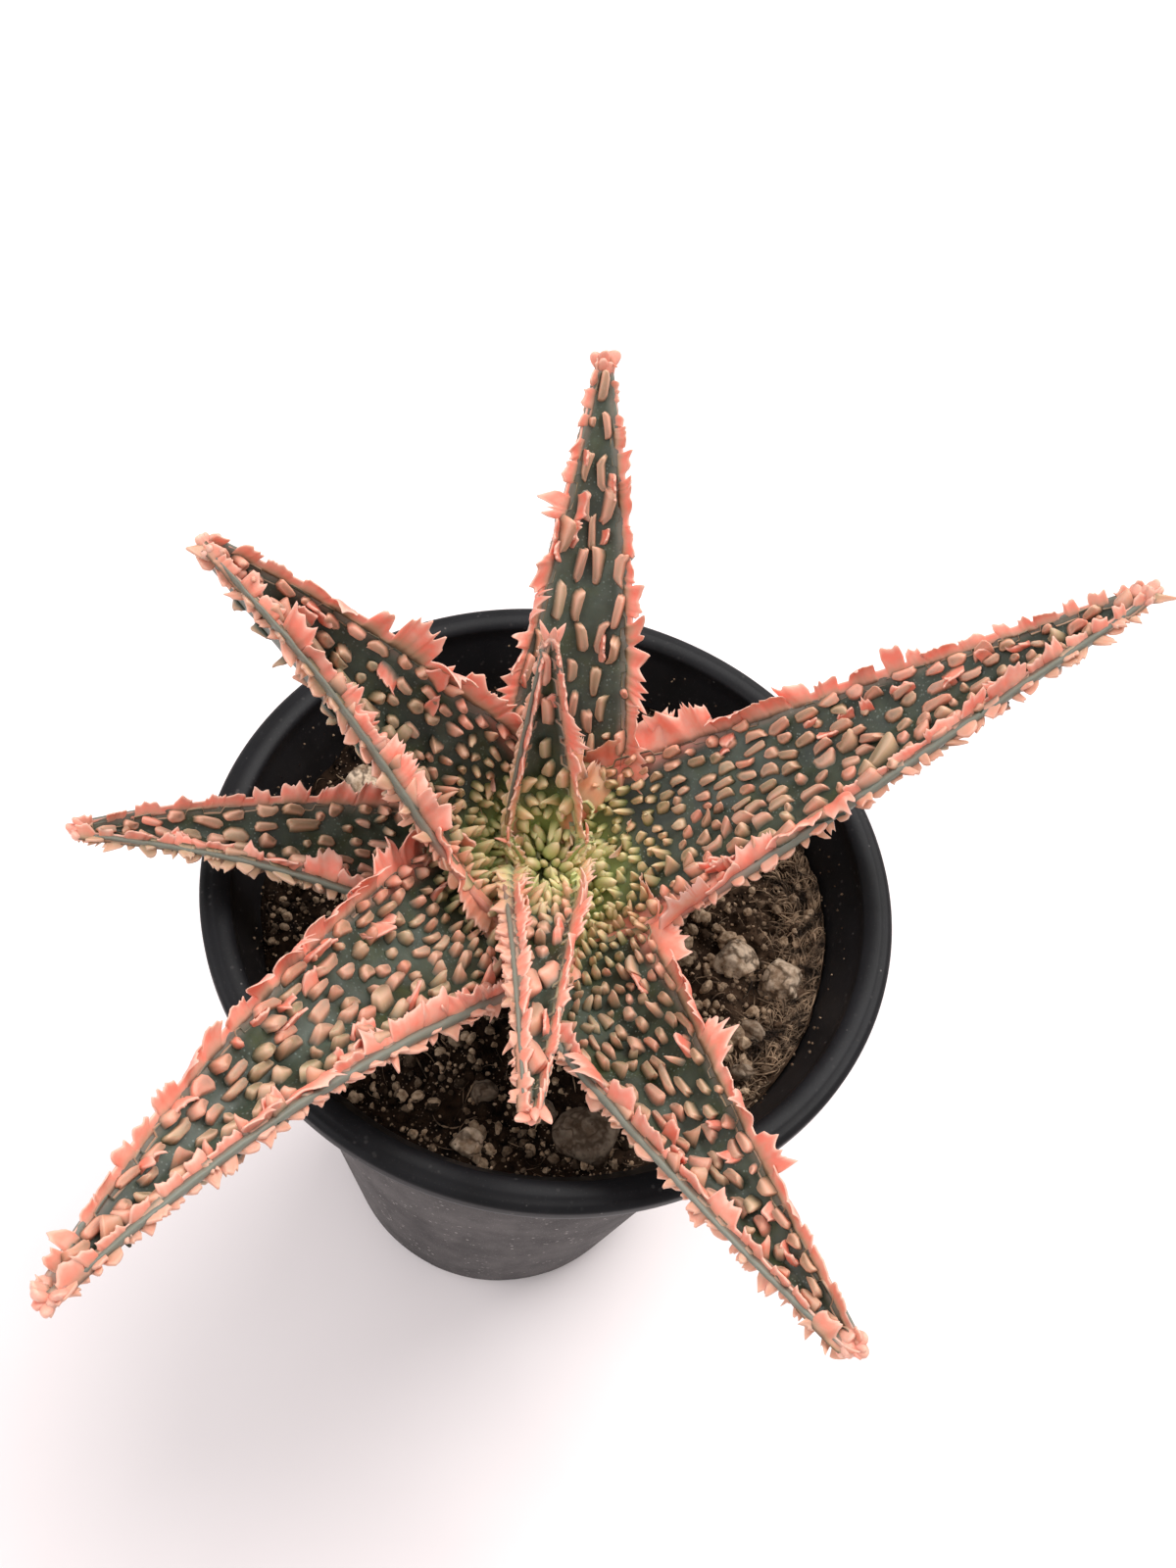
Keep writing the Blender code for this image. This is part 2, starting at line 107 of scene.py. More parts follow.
Stone = namedtuple("Stone", "name x y wide long high tone")
STONES = [
    Stone("stone_pumice_inner", 28.3, -1.2, 6.4, 6.8, 5.2, 0.95),
    Stone("stone_pumice_outer", 34.8, -3.4, 6.6, 7.4, 5.4, 0.85),
    Stone("stone_large", 12.2, -32.7, 8.6, 7.4, 6.4, 0.2),
    Stone("stone_beside_large", 5.4, -30.6, 4.0, 3.6, 3.2, 0.3),
    Stone("stone_pale_front", -3.2, -37.0, 5.0, 3.6, 3.4, 0.8),
    Stone("stone_brown_front", -2.8, -29.8, 4.0, 3.4, 3.0, 0.25),
    Stone("stone_beige_back", -31.6, 13.5, 5.2, 5.4, 4.2, 0.9),
    Stone("stone_small_right", 32.0, -12.0, 3.6, 3.4, 3.0, 0.45),
    Stone("stone_small_near_wall", 31.6, -18.6, 3.6, 3.2, 2.8, 0.4),
]
PERCH = 0.2          # how far a stone's middle is above the soil, as a share of its height
ROCK_FORMS = 6
ROCK_FLATS = 12
ROCK_EDGE = 22       # higher leaves sharper edges between the flats

# Leaf meshes
FLESH_PITCH = 0.6    # between the stations of a leaf's body
FACE_POINTS = 37
RIM_POINTS = 7
FLAP_PITCH = 0.16
FIN_PITCH = 0.18     # of lobes and crests
LOW_LOBES = (0.62, (0.0, 0.7))     # depth on the rim as a share of it, and the gaps between lobes
HIGH_LOBES = (0.2, (1.0, 5.0))
SLIM_LOBES = (0.2, (0.5, 1.5))
CREST_AREA = 105     # of leaf for each crest, mm2
FIN_ROWS = np.array([0.0, 0.2, 0.4, 0.6, 0.8, 0.93, 1.0])
PEG_POINTS = 14
TIP_POINTS = 12
NUB_POINTS = 8
PEG_LEVELS = np.array([-0.45, 0.0, 0.3, 0.62, 0.88, 1.02, 1.07])
PEG_SPREAD = np.array([1.5, 1.25, 1.08, 1.0, 0.88, 0.62, 0.26])
PEG_LEVEL = PEG_LEVELS[None, :, None]

# Loose matter on the soil
SOIL_RINGS = 84
SOIL_SIDES = 252
GRIT = 5600
WALL_SPECKS = 360
CRUMBS = 1500
CHIPS = 70           # larger pale crumbs, at the front right
FIBRES = 1300
BANKED = 950         # of the fibres, matted against the wall on the right
FIBRE_STEPS = 7
GRAIN_SEED = 41
FIBRE_SEED = 77
STONE_SEED = 500

# Camera, fitted to the pot's rim and foot in the 1200 x 1600 photograph
FRAME_LONG = 1600
FOCAL_PX = 1480
ELEVATION = 55.1
ROLL = 13.0
DISTANCE = 201.1     # from the lens to the rim's plane along the view, mm
RIM_OFF_RIGHT = -32.9
RIM_OFF_DOWN = 86.6
SENSOR = 36.0

# Studio: each light's name, place in metres, size, watts and colour
LIGHTS = [
    ("window", (0.35, 0.6, 1.1), 1.0, 14.6, (1.0, 0.99, 0.975)),
    ("fill", (-0.7, -0.3, 0.9), 0.9, 5.0, (0.97, 0.98, 1.0)),
]
SKY = (1.0, 0.985, 0.98, 1)
SKY_STRENGTH = 0.7
FLOOR_REACH = 3000.0


def smooth(x):
    x = np.clip(x, 0.0, 1.0)
    return x * x * (3 - 2 * x)


def rises(x, start, span):
    """0 up to start, then smoothly up to 1 over span."""
    return smooth((x - start) / span)


def falls(x, start, span):
    """1 up to start, then smoothly down to 0 over span."""
    return smooth(1 - (x - start) / span)


def unit(v):
    return v / np.maximum(np.linalg.norm(v, axis=-1, keepdims=True), 1e-9)


def circle(count):
    return np.linspace(0, math.tau, count, endpoint=False)


def polar(radius, turn):
    return radius * math.cos(turn), radius * math.sin(turn)


# Mesh building

def mesh_object(name, points, faces, material=None, values=(), outward=True):
    """A mesh from points in millimetres; values holds each attribute's name, kind and numbers."""
    mesh = bpy.data.meshes.new(name)
    mesh.from_pydata((np.asarray(points, float) * MM).tolist(), [], faces)
    for label, kind, numbers in values:
        field = "color" if kind == "FLOAT_COLOR" else "value"
        mesh.attributes.new(label, kind, "POINT").data.foreach_set(field, numbers)
    if material:
        mesh.materials.append(material)
    if outward:
        shape = bmesh.new()
        shape.from_mesh(mesh)
        bmesh.ops.recalc_face_normals(shape, faces=shape.faces)
        shape.to_mesh(mesh)
        shape.free()
    made = bpy.data.objects.new(name, mesh)
    bpy.context.collection.objects.link(made)
    return made


class Parts:
    """Gathers closed tubes of points into one mesh, with its colour masks per point."""

    def __init__(self):
        self.points = []
        self.quads = []
        self.caps = []
        self.tint = []
        self.vary = []
        self.count = 0

    def tubes(self, points, tint, vary):
        """points: tubes x stations x ring x 3; tint the same with 4 masks; vary per tube or per point."""
        k, n, m, _ = points.shape
        index = self.count + np.arange(k * n * m).reshape(k, n, m)
        after = np.roll(index, -1, axis=2)
        quads = np.stack([index[:, :-1], after[:, :-1], after[:, 1:], index[:, 1:]], -1)
        self.quads.append(quads.reshape(-1, 4))
        self.caps += index[:, 0, ::-1].tolist() + index[:, -1].tolist()
        self.points.append(points.reshape(-1, 3))
        self.tint.append(np.broadcast_to(tint, (k, n, m, 4)).reshape(-1, 4))
        vary = np.asarray(vary, float)
        vary = vary if vary.ndim == 3 else vary.reshape(-1, 1, 1)
        self.vary.append(np.broadcast_to(vary, (k, n, m)).reshape(-1))
        self.count += k * n * m

    def build(self, name, material):
        faces = np.concatenate(self.quads).tolist() + self.caps
        tint = np.concatenate(self.tint).astype(np.float32).ravel()
        vary = np.concatenate(self.vary).astype(np.float32)
        values = (("tint", "FLOAT_COLOR", tint), ("vary", "FLOAT", vary))
        made = mesh_object(name, np.concatenate(self.points), faces, material, values)
        made.data.shade_smooth()
        return made


def masks(coral, peg, young, pale):
    """The four colour masks side by side."""
    coral, peg, young, pale = np.broadcast_arrays(coral, peg, young, pale)
    return np.stack([coral, peg, young, pale], -1).astype(float)


# Leaf form

class LeafShape:
    """Where a point of a leaf lies, from its share along (0 to 1) and across (-1 right, +1 left)."""

    STEPS = 400

    def __init__(self, leaf):
        self.leaf = leaf
        share = np.linspace(0, 1, self.STEPS + 1)
        rise = np.radians(leaf.rise_base + (leaf.rise_tip - leaf.rise_base) * share)
        turn = np.radians(leaf.heading + leaf.bend * share)
        along = np.stack([np.cos(rise) * np.cos(turn), np.cos(rise) * np.sin(turn), np.sin(rise)], -1)
        start = math.radians(leaf.heading)
        root = np.array([PLANT_X + ROOT_R * math.cos(start), ROOT_R * math.sin(start), leaf.z])
        steps = (along[1:] + along[:-1]) / 2 * leaf.length / self.STEPS
        flat_left = unit(np.cross([0.0, 0.0, 1.0], along))
        flat_up = np.cross(along, flat_left)
        twist = np.radians(leaf.twist_base + (leaf.twist_tip - leaf.twist_base) * share)[:, None]
        left = flat_left * np.cos(twist) + flat_up * np.sin(twist)
        self.share = share
        self.spot = root + np.concatenate([np.zeros((1, 3)), np.cumsum(steps, 0)])
        self.along = along
        self.left = left
        self.up = np.cross(along, left)

    def read(self, table, s):
        s = np.clip(s, 0, 1)
        return np.stack([np.interp(s, self.share, table[:, i]) for i in range(3)], -1)

    def half(self, s):
        s = np.clip(s, 0, 1)
        clasp = CLASP + (1 - CLASP) * smooth(s / 0.18)
        return self.leaf.width / 2 * (1 - s) ** TAPER * clasp + TIP_HALF * s

    def rim(self, s):
        """Thickness of the rounded edge."""
        s = np.clip(s, 0, 1)
        return np.minimum(RIM_THICK * (self.leaf.width / WIDEST) ** 0.5 * (1 - 0.45 * s), 0.9 * self.half(s))

    def thick(self, s, u):
        s = np.clip(s, 0, 1)
        deep = self.leaf.width * FLESH * (0.5 + 0.5 * smooth(s / 0.25)) * (1 - s) ** 0.5 + EDGE
        return EDGE + (deep - EDGE) * (1 - np.abs(u) ** KEEL)

    def point(self, s, y, lift=0.0):
        """A point y millimetres left of the spine, lifted off the leaf's face."""
        s, y, lift = np.broadcast_arrays(np.asarray(s, float), y, lift)
        half = self.half(s)
        u = np.abs(y) / half
        deeper = 1 + self.leaf.fold * rises(s, 0.3, 0.5)
        rise = self.leaf.channel * deeper * half * np.minimum(u, 1.15) ** 1.5 + lift
        over = np.maximum(s - 1, 0) * self.leaf.length
        spot = self.read(self.spot, s) + self.read(self.along, s) * over[..., None]
        return spot + self.read(self.left, s) * y[..., None] + self.read(self.up, s) * rise[..., None]

    def faces_front(self, s, side):
        """How far the outside of one edge points to the viewer's side, from 0 to 1."""
        return 0.5 - 0.5 * side * self.read(self.left, s)[:, 1]

    def frame(self, s, y):
        """Along, across and out of the face at a point."""
        along = self.read(self.along, s)
        across = unit(self.point(s, y + 0.1) - self.point(s, y - 0.1))
        return along, across, unit(np.cross(along, across))


def noise_along(x, size, row, layer):
    """Smooth noise along a margin, with features of about size millimetres."""
    return np.array([noise.noise(Vector((v / size, row, layer))) for v in x])


def leaf_seed(leaf):
    return sum(ord(letter) for letter in leaf.name)


def youth(points, reach=20.0):
    """How near the heart a point is: 1 there, fading to 0 over reach millimetres."""
    away = np.linalg.norm(points - HEART, axis=-1)
    return smooth(1 - (away - 4) / reach)


# Leaf pieces

def add_flesh(parts, shape):
    """The smooth body of a leaf: channelled face, thick rounded rim and keeled underside."""
    leaf = shape.leaf
    stations = max(24, int(leaf.length / FLESH_PITCH))
    s = (1 - (1 - np.linspace(0, 1, stations + 1)) ** 1.15)[:, None]
    half = shape.half(s) * np.sqrt(np.clip((1.012 - s) / 0.04, 0.05, 1))
    rim = shape.rim(s)
    flat = half - rim / 2
    face = np.sin(np.linspace(1, -1, FACE_POINTS) * math.pi / 2)[None, :]
    turn = np.radians(np.linspace(70, -70, RIM_POINTS))[None, :]
    below = face[:, ::-1]
    full = np.ones_like(s)
    top = shape.point(s, face * flat)
    right = shape.point(s, -flat - rim / 2 * np.cos(turn), -rim / 2 + rim / 2 * np.sin(turn))
    deep = rim + np.maximum(shape.thick(s, below) - EDGE, 0)
    low = shape.point(s, below * flat, -deep)
    left = shape.point(s, flat + rim / 2 * np.cos(turn), -rim / 2 - rim / 2 * np.sin(turn))
    points = np.concatenate([top, right, low, left], 1)
    ripple = np.array([[noise.noise(Vector(p / 2.4)) + 0.5 * noise.noise(Vector(p / 0.9)) for p in row]
                       for row in points])
    points = points + shape.read(shape.up, s) * (0.2 * ripple[..., None])

    def around(on_face, on_rim, on_back):
        """One value for each point of the ring: face, right rim, back, left rim."""
        edge = on_rim * full * np.ones_like(turn)
        return np.concatenate([on_face * full, edge, on_back * full, edge], 1)

    inside = (1 - np.abs(around(face, 1.0, below))) * half
    early = falls(s, 0.16, 0.22)
    blush = smooth(1 - (inside - 0.3) / (0.8 + 2.8 * early)) * (0.06 + 0.9 * early)
    blush = blush * around(1.0 + 0 * face, 0.12 + 0.5 * early, 0 * below)
    blush = np.maximum(blush, rises(s, 0.955, 0.03))
    sides = around(0.5 + 0 * face, 1.0, 0.6 + 0 * below)
    frost = 0.5 + 0.12 * (leaf.stand == 0) + 0.5 * falls(inside, 0.4, 1.4) * sides
    young = youth(points, 14.0)
    tint = masks(blush * leaf.margin, 0.0, young, 0.35 * rises(s, 0.975, 0.02))
    parts.tubes(points[None], tint[None], (frost * (1 - 0.85 * young))[None])


def peg_spots(shape, draw, below):
    """Scattered places for pegs, closer together near the heart, each with the room around it."""
    leaf = shape.leaf
    tries = int(leaf.length * leaf.width * (6 if below else 14))
    s = draw.uniform(0.015, 0.96, tries)
    room = shape.half(s) - (2.8 if below else 1.25 + 0.7 * smooth(1 - s / 0.3))
    y = draw.uniform(-1, 1, tries) * room
    near = youth(shape.point(s, y), 36.0)
    sparse = leaf.peg_gap * (1 + 0.9 * (leaf.width < SLIM) * rises(s, 0.4, 0.2))
    gap_x = (4.0 - 2.1 * near) * (1.6 if below else 1) * (1 - 0.2 * rises(s, 0.55, 0.4)) * sparse
    gap_y = (1.72 - 0.45 * near) * (1.3 if below else 1) * sparse
    kept = np.zeros(0, int)
    for i in np.nonzero(room > 0.35)[0]:
        dx = (s[kept] - s[i]) * leaf.length / gap_x[i]
        dy = (y[kept] - y[i]) / gap_y[i]
        if not len(kept) or np.min(dx * dx + dy * dy) > 1:
            kept = np.append(kept, i)
    x, y = s[kept] * leaf.length, y[kept]
    dx = np.abs(x[:, None] - x[None]) + np.eye(len(x)) * 99
    dy = np.abs(y[:, None] - y[None]) + np.eye(len(x)) * 99
    free_x = np.min(np.where(dy < 1.2, dx, 99), 1, initial=99)
    free_y = np.min(np.where(dx < 1.9, dy, 99), 1, initial=99)
    return s[kept], y, near[kept], free_x, free_y


def per_peg(values):
    """One value for each peg, ready to spread over its levels and outline."""
    return values[:, None, None]


def peg_outline(draw, long, wide):
    """Outlines of pegs seen from above: round-ended bars, buttons and beans."""
    n = len(long)
    around = circle(PEG_POINTS)[None, :]
    cos, sin = np.cos(around), np.sin(around)
    bar = np.maximum(long - wide, 0)[:, None] / 2
    x = bar * np.clip(3 * cos, -1, 1) + wide[:, None] / 2 * cos
    taper = 1 + draw.normal(0, 0.13, (n, 1)) * x / np.maximum(long, 1)[:, None] * 2
    lobes = (1 + 0.06 * np.sin(3 * around + draw.uniform(0, 6, (n, 1)))
             + 0.05 * np.sin(5 * around + draw.uniform(0, 6, (n, 1))))
    return x * lobes, wide[:, None] / 2 * sin * taper * lobes


def peg_sizes(leaf, draw, spots, below):
    """Length, width and height of each peg, from the room around it."""
    s, _, near, free_x, free_y = spots
    n = len(s)
    long = np.clip(free_x * draw.uniform(0.7, 0.95, n), 1.4, 4.9 - 2.7 * near)
    long = np.minimum(long, 2.4) if below else long
    stub = draw.random(n) < 0.12
    long = np.where(stub, np.minimum(long, draw.uniform(0.9, 1.5, n)), long)
    wide = np.clip(free_y * draw.uniform(0.66, 0.9, n), 0.9, draw.uniform(1.15, 1.85, n) - 0.2 * near)
    wide = np.minimum(wide * leaf.peg_wide, long * 0.97) * (1 - 0.12 * rises(s, 0.6, 0.4))
    high = (0.7 + 1.1 * draw.random(n) ** 1.8) * (0.7 if below else 1.0) * (0.7 + 0.3 * leaf.margin)
    return long, wide, high + 0.3 * near


def peg_forms(draw, long, wide, high, near):
    """Each peg's points along, across and out of the face, and how far each is to its outer end."""
    n = len(long)
    turn = draw.normal(0, 0.13 + 0.2 * (long < 1.8), n)
    hook = draw.normal(0, 0.2, n)
    x, w = peg_outline(draw, long, wide)
    spread = PEG_SPREAD[None, :, None] - (0.13 * per_peg(near)) * PEG_LEVEL
    inset = (1 - spread) * per_peg(wide / 2)
    px = x[:, None, :] - inset * x[:, None, :] / per_peg(np.maximum(np.abs(x), 0.1).max(1))
    py = w[:, None, :] * spread
    py = py + per_peg(hook) * px ** 2 / per_peg(np.maximum(long / 2, 1))
    slope = per_peg(draw.normal(0.3, 0.25, n))
    ends = (x / (long / 2)[:, None])[:, None, :]
    pz = PEG_LEVEL * per_peg(high) * np.where(PEG_LEVEL > 0, 1 + slope * ends, 1.0)
    lean_x = per_peg(draw.normal(-0.08, 0.26, n))
    lean_y = per_peg(draw.normal(0, 0.22, n))
    px = px + lean_x * np.maximum(pz, 0)
    py = py + lean_y * np.maximum(pz, 0)
    cos, sin = per_peg(np.cos(turn)), per_peg(np.sin(turn))
    return px * cos - py * sin, px * sin + py * cos, pz, ends


def add_pegs(parts, shape, draw, below=False):
    """Raised blunt pegs, longer along the leaf, pressed close together near the heart."""
    spots = peg_spots(shape, draw, below)
    s, y, near = spots[:3]
    n = len(s)
    if n == 0:
        return
    leaf = shape.leaf
    long, wide, high = peg_sizes(leaf, draw, spots, below)
    px, py, pz, ends = peg_forms(draw, long, wide, high, near)
    half = shape.half(s)
    lift = -shape.thick(s, y / half) - shape.rim(s) + EDGE if below else np.zeros(n)
    spot = shape.point(s, y, lift)
    along, across, out = shape.frame(s, y)
    if below:
        out = -out
    points = (per_peg(spot) + per_peg(along) * px[..., None]
              + per_peg(across) * py[..., None] + per_peg(out) * pz[..., None])
    young = youth(spot)
    show = rises(PEG_LEVEL, 0.02, 0.55) * (1 - 0.3 * rises(PEG_LEVEL, 0.98, 0.08))
    show = show * np.ones_like(pz) * (0.6 + 0.4 * smooth((ends + 0.95) / 1.1)) * (0.75 if below else 1.0)
    edge = half - np.abs(y)
    early = falls(s, 0.16, 0.26)
    rosy = smooth(1 - (edge - 1.2) / (2.2 + 2 * early)) * (0.55 + 0.35 * early) * leaf.warm
    rosy = rosy + (draw.random(n) < 0.13 * leaf.warm) * 0.6
    rosy = np.clip(rosy * (1 - 0.9 * young), 0, 0.85) * (0.5 if below else 1.0)
    rim = 0.26 * rises(PEG_LEVEL, 0.6, 0.25) * smooth((1.06 - PEG_LEVEL) / 0.1)
    tint = masks(per_peg(rosy) * show, show, per_peg(young), rim * show)
    parts.tubes(points, tint, draw.random(n))


def add_fin(parts, base, along, out, profile, root, thick, tip, tint_of, vary):
    """A torn fin on the line base: profile holds its height, curl, lean and ruffle at each station."""
    height, curl, lean, ruffle = profile
    n = len(base)
    side = unit(np.cross(along, out))
    v = FIN_ROWS[None, :]
    reach = (height[:, None] + root) * v - root
    grown = np.maximum(reach, 0)
    slab = (np.reshape(thick, (-1, 1)) * (1 - v) ** 1.1 + tip * v) / 2
    bend = curl[:, None] * grown ** 2 / 3.0 + ruffle[:, None] * grown
    push = lean[:, None] * grown
    drop = 0.5 * np.abs(curl[:, None]) * grown ** 2 / 4.0
    middle = (base[:, None] + out[:, None] * (reach - drop)[..., None] + side[:, None] * bend[..., None]
              + along[:, None] * push[..., None])
    front = middle + side[:, None] * slab[..., None]
    back = middle - side[:, None] * slab[..., None]
    ring = np.concatenate([front, back[:, ::-1]], 1)
    shade = tint_of(np.concatenate([v, v[:, ::-1]], 1) * np.ones((n, 1)))
    parts.tubes(ring[None], shade[None], [vary])


def spikes(t, count, draw, low, high):
    """Pointed teeth of uneven height and width over t from 0 to 1."""
    cuts = np.sort(np.concatenate([[0, 1], draw.uniform(0.08, 0.92, max(count - 1, 0))]))
    part = np.clip(np.searchsorted(cuts, t, side="right") - 1, 0, count - 1)
    wide = np.maximum(cuts[part + 1] - cuts[part], 0.02)
    q = np.clip((t - cuts[part]) / wide, 0, 1)
    peak = draw.uniform(0.25, 0.75, count)[part]
    ramp = np.where(q < peak, q / peak, (1 - q) / (1 - peak))
    return draw.uniform(low, high, count)[part] * np.clip(ramp, 0, 1) ** 1.7


def torn_flag(t, wide, high, draw):
    """A ragged flap: a sheet with short sloping sides and a top torn into points of two sizes."""
    sides = np.clip(np.minimum(t / draw.uniform(0.06, 0.28), (1 - t) / draw.uniform(0.06, 0.28)), 0, 1)
    slant = 1 + draw.uniform(-0.45, 0.45) * (2 * t - 1)
    sheet = high * draw.uniform(0.42, 0.7) * sides ** 0.6 * slant
    count = max(2, int(round(wide / draw.uniform(0.75, 1.4))))
    points = spikes(t, count, draw, 0.25, 0.45 + 0.36 * high)
    fine = spikes(t, max(3, int(round(wide / 0.5))), draw, 0.0, 0.34)
    return sheet + (points + fine) * sides ** 0.4


def comb_sheet(t, wide, high, draw):
    """A long sheet with a fine comb of teeth and a few narrow cuts."""
    sides = np.clip(np.minimum(t / 0.05, (1 - t) / 0.05), 0, 1) ** 0.5
    count = max(3, int(round(wide / 0.85)))
    cuts = np.sin(math.pi * np.clip(t * draw.integers(1, 4) % 1, 0.03, 0.97)) ** 0.16
    return sides * (high * 0.72 * cuts + spikes(t, count, draw, 0.3, 1.0))


def fingers(t, wide, high, draw):
    """A row of separate blunt fingers on a low sheet."""
    sides = np.clip(np.minimum(t / 0.08, (1 - t) / 0.08), 0, 1) ** 0.5
    count = max(2, int(round(wide / 1.25)))
    return sides * (0.35 * high + spikes(t, count, draw, 0.5 * high, 1.1 * high) ** 0.75)


def torn_profile(x, draw, leaf):
    """The upper margin: a combed sheet near the root, torn flaps further out, small ones at the tip."""
    height, curl, lean = np.zeros((3, len(x)))
    start = x[0]
    spot = draw.uniform(0, 90)
    slim = min(1.0, 0.45 + leaf.width / 40)
    while start < x[-1]:
        s = start / leaf.length
        zone = 0.35 + 1.1 * float(smooth(0.5 + 1.6 * noise.noise(Vector((start / 9.0, spot, 0.0)))))
        if s < 0.38:
            wide, high = draw.uniform(3.5, 8.0), draw.uniform(1.5, 2.4) * (0.6 + 0.5 * zone)
            form = comb_sheet if leaf.stand else fingers
        elif s > 0.74:
            wide, high = draw.uniform(1.5, 3.2), draw.uniform(1.2, 2.6)
            form = torn_flag
        else:
            wide, high = draw.uniform(2.0, 5.5), min(draw.uniform(1.8, 4.0) * zone, 3.7)
            form = torn_flag if leaf.stand or draw.random() < 0.4 else fingers
        wide = wide * (0.55 + 0.45 * leaf.margin)
        high = high * (0.62 + 0.38 * float(smooth((1 - s) / 0.5))) * leaf.margin * slim
        inside = (x >= start) & (x < start + wide)
        t = (x[inside] - start) / wide
        height[inside] = form(t, wide, high, draw)
        curl[inside] = draw.normal(0.15, 0.4)
        fan = draw.uniform(0.0, 0.45)
        lean[inside] = draw.normal(-0.05, 0.25) + fan * (2 * t - 1)
        start += wide + draw.uniform(-0.1, 0.3 + 1.5 * float(rises(s, 0.3, 0.2)))
    return height, curl, lean


def lobe_profile(x, draw, leaf, gaps):
    """The lower margin: a row of fleshy lobes, each with one to three blunt points."""
    height, curl, lean = np.zeros((3, len(x)))
    start = x[0]
    while start < x[-1]:
        s = start / leaf.length
        wide = draw.uniform(1.0, 3.0) * (0.6 + 0.4 * leaf.margin)
        high = draw.uniform(0.5, 2.5) * (0.65 + 0.35 * leaf.margin) * (1 - 0.3 * s)
        inside = (x >= start) & (x < start + wide)
        t = (x[inside] - start) / wide
        dome = np.sin(math.pi * np.clip(t, 0.01, 0.99)) ** draw.uniform(0.3, 0.6)
        height[inside] = high * 0.75 * dome + spikes(t, draw.integers(1, 4), draw, 0.1, 0.9)
        curl[inside] = draw.normal(0.0, 0.5)
        lean[inside] = draw.normal(0.1, 0.5)
        start += wide + draw.uniform(*gaps)
    return height, curl, lean


def ruffle_of(x, seed, size):
    return size * noise_along(x, 1.5, seed, 0.5)


def add_flaps(parts, shape, draw, side):
    """The coral upper margin: flat along the root of the leaf and standing up further out."""
    leaf = shape.leaf
    x = np.arange(0.4, leaf.length * 0.985, FLAP_PITCH)
    s = x / leaf.length
    height, curl, lean = torn_profile(x, draw, leaf)
    early = falls(s, 0.14, 0.22) * (leaf.width > SLIM)
    height = height + leaf.margin * (0.5 + 1.1 * early) * falls(s, 0.75, 0.25)
    half = shape.half(s)
    faces_front = shape.faces_front(s, side)
    if leaf.width > SLIM:
        height = height * (1 + 0.4 * smooth((0.5 - faces_front) / 0.3) * smooth((0.75 - s) / 0.3))
    height = height * (1 + 0.6 * (leaf.stand > 2) * smooth((0.5 - s) / 0.2))
    steep = (1 - early) * np.minimum(leaf.stand * rises(faces_front, 0.4, 0.35), 1)
    back = np.minimum(0.3 + 0.7 * early + 1.3 * steep, 0.36 * half)
    wander = noise_along(x, 5.0, side * 3.0, 9.1 + leaf_seed(leaf) % 11)
    y = side * (half - back + 0.35 * wander * steep)
    base = shape.point(s, y, -0.42 * early - 0.25 * (1 - early) * (1 - steep))
    along, across, up = shape.frame(s, y)
    droop = 0.75 * early * rises(faces_front, 0.4, 0.35)
    rise = 0.14 + 0.25 * wander + 0.3 * (1 - early) + steep * (0.8 + 0.35 * wander) - droop
    out = across * side * np.cos(rise)[:, None] + up * np.sin(rise)[:, None]
    young = youth(base)[:, None]
    tipward = rises(s, 0.7, 0.3)[:, None]

    def tint_of(v):
        foot = 0.34 + 0.3 * (1 - early[:, None])
        coral = smooth((v + 0.3 * early[:, None]) / foot) * (1 - 0.55 * young) * (1 - 0.3 * tipward)
        return masks(coral, 0.7 * smooth((v + 0.1) / 0.35), young, 0.5 * rises(v, 0.74, 0.26))

    seed = leaf_seed(leaf) * 0.37 + side
    profile = (height, curl * side, lean, ruffle_of(x, seed, 0.35))
    add_fin(parts, base, along, out, profile, 0.7, 1.1 + 0.6 * steep, 0.2, tint_of, draw.random())


def add_lobes(parts, shape, draw, side, depth, gaps):
    """A row of peach blunt lobes on the outer edge of the rim, at a share of its depth."""
    leaf = shape.leaf
    x = np.arange(0.8, leaf.length * 0.99, FIN_PITCH)
    s = x / leaf.length
    height, curl, lean = lobe_profile(x, draw, leaf, gaps)
    early = falls(s, 0.08, 0.2) * (leaf.width > SLIM)
    height = height * (1 - 0.55 * early)
    rim = shape.rim(s)
    y = side * (shape.half(s) - 0.15 * rim - 0.6 * smooth(1 - height / 0.5))
    base = shape.point(s, y, -depth * rim - 1.3 * leaf.channel * rises(s, 0.1, 0.3))
    along = shape.read(shape.along, s)
    faces_front = shape.faces_front(s, side)
    height = height * (0.12 + 0.88 * np.minimum(leaf.stand * rises(faces_front, 0.4, 0.35), 1))
    wander = noise_along(x, 4.0, side * 7.0 + 9 * depth, 2.3 + leaf_seed(leaf) % 7)
    fall = 0.35 - 0.7 * depth + 0.5 * wander
    level = shape.read(shape.left, s) * side
    out = level * np.cos(fall)[:, None] + np.cross(along, level) * (side * np.sin(fall))[:, None]
    young = youth(base)[:, None]

    def tint_of(v):
        coral = rises(v, 0.2, 0.6) * 0.3 * (1 - 0.5 * young) * leaf.warm + 0.1 * v
        return masks(coral, 0.92 * smooth((v + 0.05) / 0.45), young, 0.3 * rises(v, 0.75, 0.25))

    seed = leaf_seed(leaf) * 0.53 + side
    profile = (height, curl * side, lean, ruffle_of(x, seed, 0.2))
    thick = 1.25 if leaf.width > SLIM else 1.7
    add_fin(parts, base, along, out, profile, 0.8, thick, 0.34, tint_of, draw.random())


